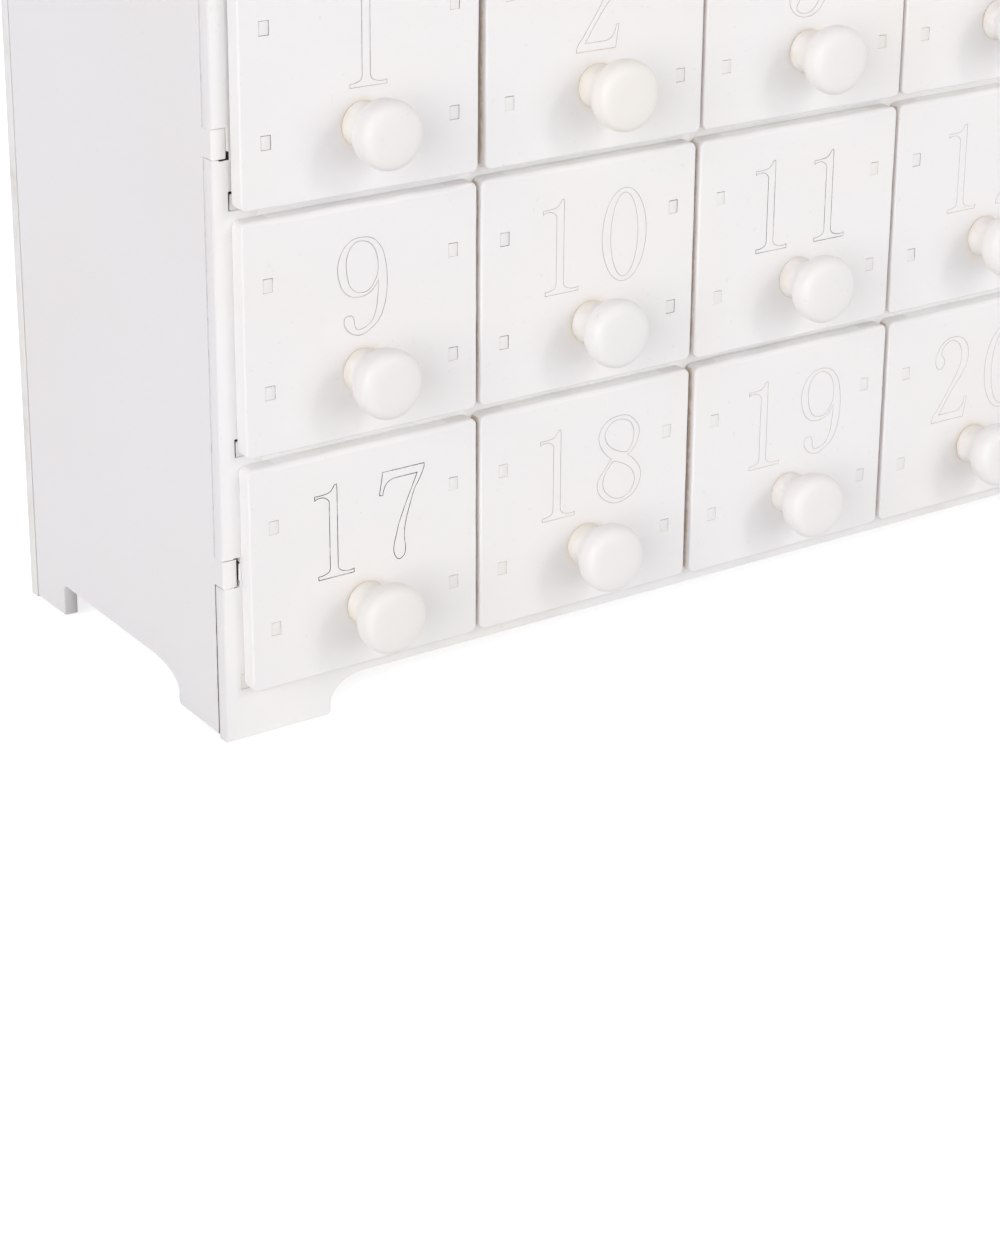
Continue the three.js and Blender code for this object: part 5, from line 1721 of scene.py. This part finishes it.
# The cells, one with its nub up and one with its nub down
CELL_PROFILE = [(0.0, 0.0), (5.2, 0.0), (5.6, 0.15), (6.5, 0.15), (7.0, 0.3), (7.2, 0.6)]
CELL_PROFILE += [(7.2, 48.9), (7.0, 49.3), (6.4, 49.5), (5.9, 49.45), (5.7, 49.2), (3.0, 49.2)]
CELL_PROFILE += [(2.7, 49.4), (2.7, 50.2), (2.4, 50.5), (0.0, 50.5)]
CELL_LENGTH = 50.5
LONGEST_RUN = 3.0
BARE_END = 6.2


def split_profile(corners):
    """A profile with its long runs split up."""
    profile = []
    for (r0, z0), (r1, z1) in zip(corners, corners[1:]):
        pieces = max(1, round(math.hypot(r1 - r0, z1 - z0) / LONGEST_RUN))
        for k in range(pieces):
            profile.append((r0 + (r1 - r0) * k / pieces, z0 + (z1 - z0) * k / pieces))
    return profile + [corners[-1]]


for label, x, nub_up in CELLS:
    sizes = {
        "Sides": 64,
        "Place": Vector((x, CELL_DEPTH, CELL_FOOT if nub_up else CELL_TOP)) * MM,
        "Turn": (0.0 if nub_up else math.pi, 0.0, 0.4),
        "Finish": CELL_SLEEVE,
    }
    profile = split_profile(CELL_PROFILE)
    name = f"cell_{label}_sleeved"
    cell = turned_piece(name, profile, "nub_end", lambda z: z / CELL_LENGTH, sizes)
    lay_skin(cell, CONTACT_STEEL, lambda u, v, z: math.hypot(u - x, v - CELL_DEPTH) < BARE_END)
    hand_over(cell, "cabinet", "cell_sleeve", f"cell_{label}")

# The sliding cover with its finger ribs
COVER_FACES = (55.1, 56.6)
RIB_FACES = (56.5, 57.2)
RIB_PITCH = 3.2
RIB_COUNT = 5
outline = rounded_rectangle(81.1, 114.9, 72.2, 130.0, 0.5, 3)
cover = plate_piece("battery_cover_plate", "y", outline, *COVER_FACES, BOX_PLASTIC, 0.25)
hand_over(cover, "battery_cover", "box_plastic", "battery_cover")
outline = rounded_rectangle(89.0, 107.0, 80.2, 81.4, 0.55)
pattern = plate_piece("grip_pattern", "y", outline, *RIB_FACES, BOX_PLASTIC, 0.35, 3)
pitch = (0.0, 0.0, RIB_PITCH * MM)
ribs = repeated("cover_grip_ribs", pattern, RIB_COUNT, pitch, BOX_PLASTIC)
hand_over(ribs, "battery_cover", "box_plastic", "battery_cover")

# The slide switch: a flange behind the box's wall, and a cap with four ribs
FLANGE_FACES = (54.6, 56.0)
FLANGE_HALF = 3.6
CAP_HALF = 1.8
CAP_LEFT, CAP_RIGHT = 94.0, 99.0
CAP_FOOT, CAP_FACE, CAP_RIBS = 55.6, 59.2, 59.5
low, high = SWITCH_MIDDLE - FLANGE_HALF, SWITCH_MIDDLE + FLANGE_HALF
outline = rounded_rectangle(92.2, 100.8, low, high, 0.4, 3)
flange = plate_piece("switch_flange", "y", outline, *FLANGE_FACES, SWITCH_PLASTIC, 0.15)
hand_over(flange, "switch_slider", "switch_plastic", "switch_slider")
cap_outline = [(CAP_LEFT, CAP_FOOT)]
for x in (94.0, 95.25, 96.5, 97.75):
    cap_outline += [(x, CAP_FACE), (x + 0.2, CAP_RIBS), (x + 0.85, CAP_RIBS), (x + 1.05, CAP_FACE)]
cap_outline += [(CAP_RIGHT, CAP_FACE), (CAP_RIGHT, CAP_FOOT)]
outline = points_of(cap_outline)[::-1]
low, high = SWITCH_MIDDLE - CAP_HALF, SWITCH_MIDDLE + CAP_HALF
cap = plate_piece("switch_cap", "z", outline, low, high, SWITCH_PLASTIC, 0.12)
hand_over(cap, "switch_slider", "switch_plastic", "switch_slider")


# --- Floor, light and camera -------------------------------------------------

WHITE = (1.0, 1.0, 1.0)
FLOOR_RADIUS = 9.0
FLOOR_DROP = 0.0002
LOOKED_AT = Vector((0.0, 0.0, 0.12))
CAMERA_PLACE = Vector((-0.442915, -0.482991, 0.251290))
CAMERA_TURNS = (34.264, 20.949, 0.465)


def bright_for_camera(wiring):
    """1 where the camera looks, also through glass or in a reflection."""
    path = wiring.node("ShaderNodeLightPath")
    seen = wiring.calc("MAXIMUM", path["Is Camera Ray"], path["Is Glossy Ray"])
    return wiring.calc("MAXIMUM", seen, path["Is Transmission Ray"])


def pale_floor():
    finish = Finish("pale floor")
    tone = finish.remap(finish.noise(3.0, 3.0), 0.3, 0.7)
    colour = finish.mixed(tone, (0.80, 0.80, 0.80), (0.83, 0.83, 0.83))
    finish.fed({"Base Color": colour, "Roughness": 0.9, "Specular IOR Level": 0.0})
    glow = finish.node("ShaderNodeEmission", {"Color": WHITE, "Strength": 0.72})[0]
    dark = finish.node("ShaderNodeEmission", {"Color": (0.0, 0.0, 0.0), "Strength": 0.0})[0]
    lift = finish.node("ShaderNodeMixShader", {0: bright_for_camera(finish), 1: dark, 2: glow})[0]
    both = finish.node("ShaderNodeAddShader", {0: finish.shader.outputs[0], 1: lift})[0]
    finish.plug(finish.tree.nodes["Material Output"].inputs["Surface"], both)
    return finish.material


def floor():
    work = bmesh.new()
    bmesh.ops.create_circle(work, cap_ends=True, segments=96, radius=FLOOR_RADIUS)
    mesh = bpy.data.meshes.new("studio_floor")
    work.to_mesh(mesh)
    work.free()
    mesh.transform(Matrix.Translation((0.0, 0.0, -FLOOR_DROP)))
    mesh.materials.append(pale_floor())
    placed_object("studio_floor", mesh)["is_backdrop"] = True


def studio_world():
    world = bpy.data.worlds.new("studio")
    scene.world = world
    world.use_nodes = True
    wiring = Wiring(world.node_tree)
    light = wiring.tree.nodes["Background"]
    wiring.plug(light.inputs["Color"], (0.965, 0.965, 1.0))
    wiring.plug(light.inputs["Strength"], 0.36)
    white = wiring.node("ShaderNodeBackground", {"Color": WHITE, "Strength": 1.0})[0]
    feeds = {0: bright_for_camera(wiring), 1: light.outputs[0], 2: white}
    both = wiring.node("ShaderNodeMixShader", feeds)[0]
    wiring.plug(wiring.tree.nodes["World Output"].inputs["Surface"], both)


def soft_lamp(name, towards, distance, size, power, colour):
    """A soft lamp, as wide and tall as its size, that looks at the cabinet from a direction."""
    data = bpy.data.lights.new(name, "AREA")
    data.shape = "RECTANGLE"
    data.size, data.size_y = size
    data.energy = power
    data.color = colour
    lamp = placed_object(name, data)
    way = Vector(towards).normalized()
    lamp.location = LOOKED_AT + way * distance
    lamp.rotation_euler = way.to_track_quat("Z", "Y").to_euler()


def photo_camera():
    data = bpy.data.cameras.new("photo_camera")
    data.lens = 85.944
    data.sensor_width = 36.0
    data.shift_y = -0.15
    data.clip_start = 0.02
    camera = placed_object("photo_camera", data)
    yaw, pitch, roll = (math.radians(turn) for turn in CAMERA_TURNS)
    level = math.cos(pitch)
    forward = Vector((math.sin(yaw) * level, math.cos(yaw) * level, -math.sin(pitch)))
    right = Vector((math.cos(yaw), -math.sin(yaw), 0.0))
    up = right.cross(forward)
    x_axis = right * math.cos(roll) + up * math.sin(roll)
    y_axis = up * math.cos(roll) - right * math.sin(roll)
    placed = Matrix((x_axis, y_axis, -forward)).transposed().to_4x4()
    placed.translation = CAMERA_PLACE
    camera.matrix_world = placed
    scene.camera = camera


floor()
studio_world()
soft_lamp("key_light", (0.31, -0.80, 0.508), 2.97, (0.6, 0.6), 10.0, (1.0, 0.985, 0.95))
soft_lamp("front_fill", (0.25, -0.95, 0.22), 2.6, (2.4, 1.2), 17.4, (0.985, 0.995, 1.0))
soft_lamp("left_fill", (-0.9, -0.42, 0.15), 3.2, (2.8, 2.8), 81.5, (0.99, 0.995, 1.0))
soft_lamp("back_fill", (0.35, 0.9, 0.3), 3.2, (2.6, 2.6), 55.0, (1.0, 0.99, 0.985))
soft_lamp("right_fill", (0.95, 0.05, 0.25), 3.2, (2.4, 2.4), 27.0, (1.0, 0.99, 0.985))
photo_camera()
scene.view_settings.view_transform = "Standard"

visual_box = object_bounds()
sizes = {
    "cad": [list(corner) for corner in packed_box],
    "visual": [list(corner) for corner in visual_box],
}
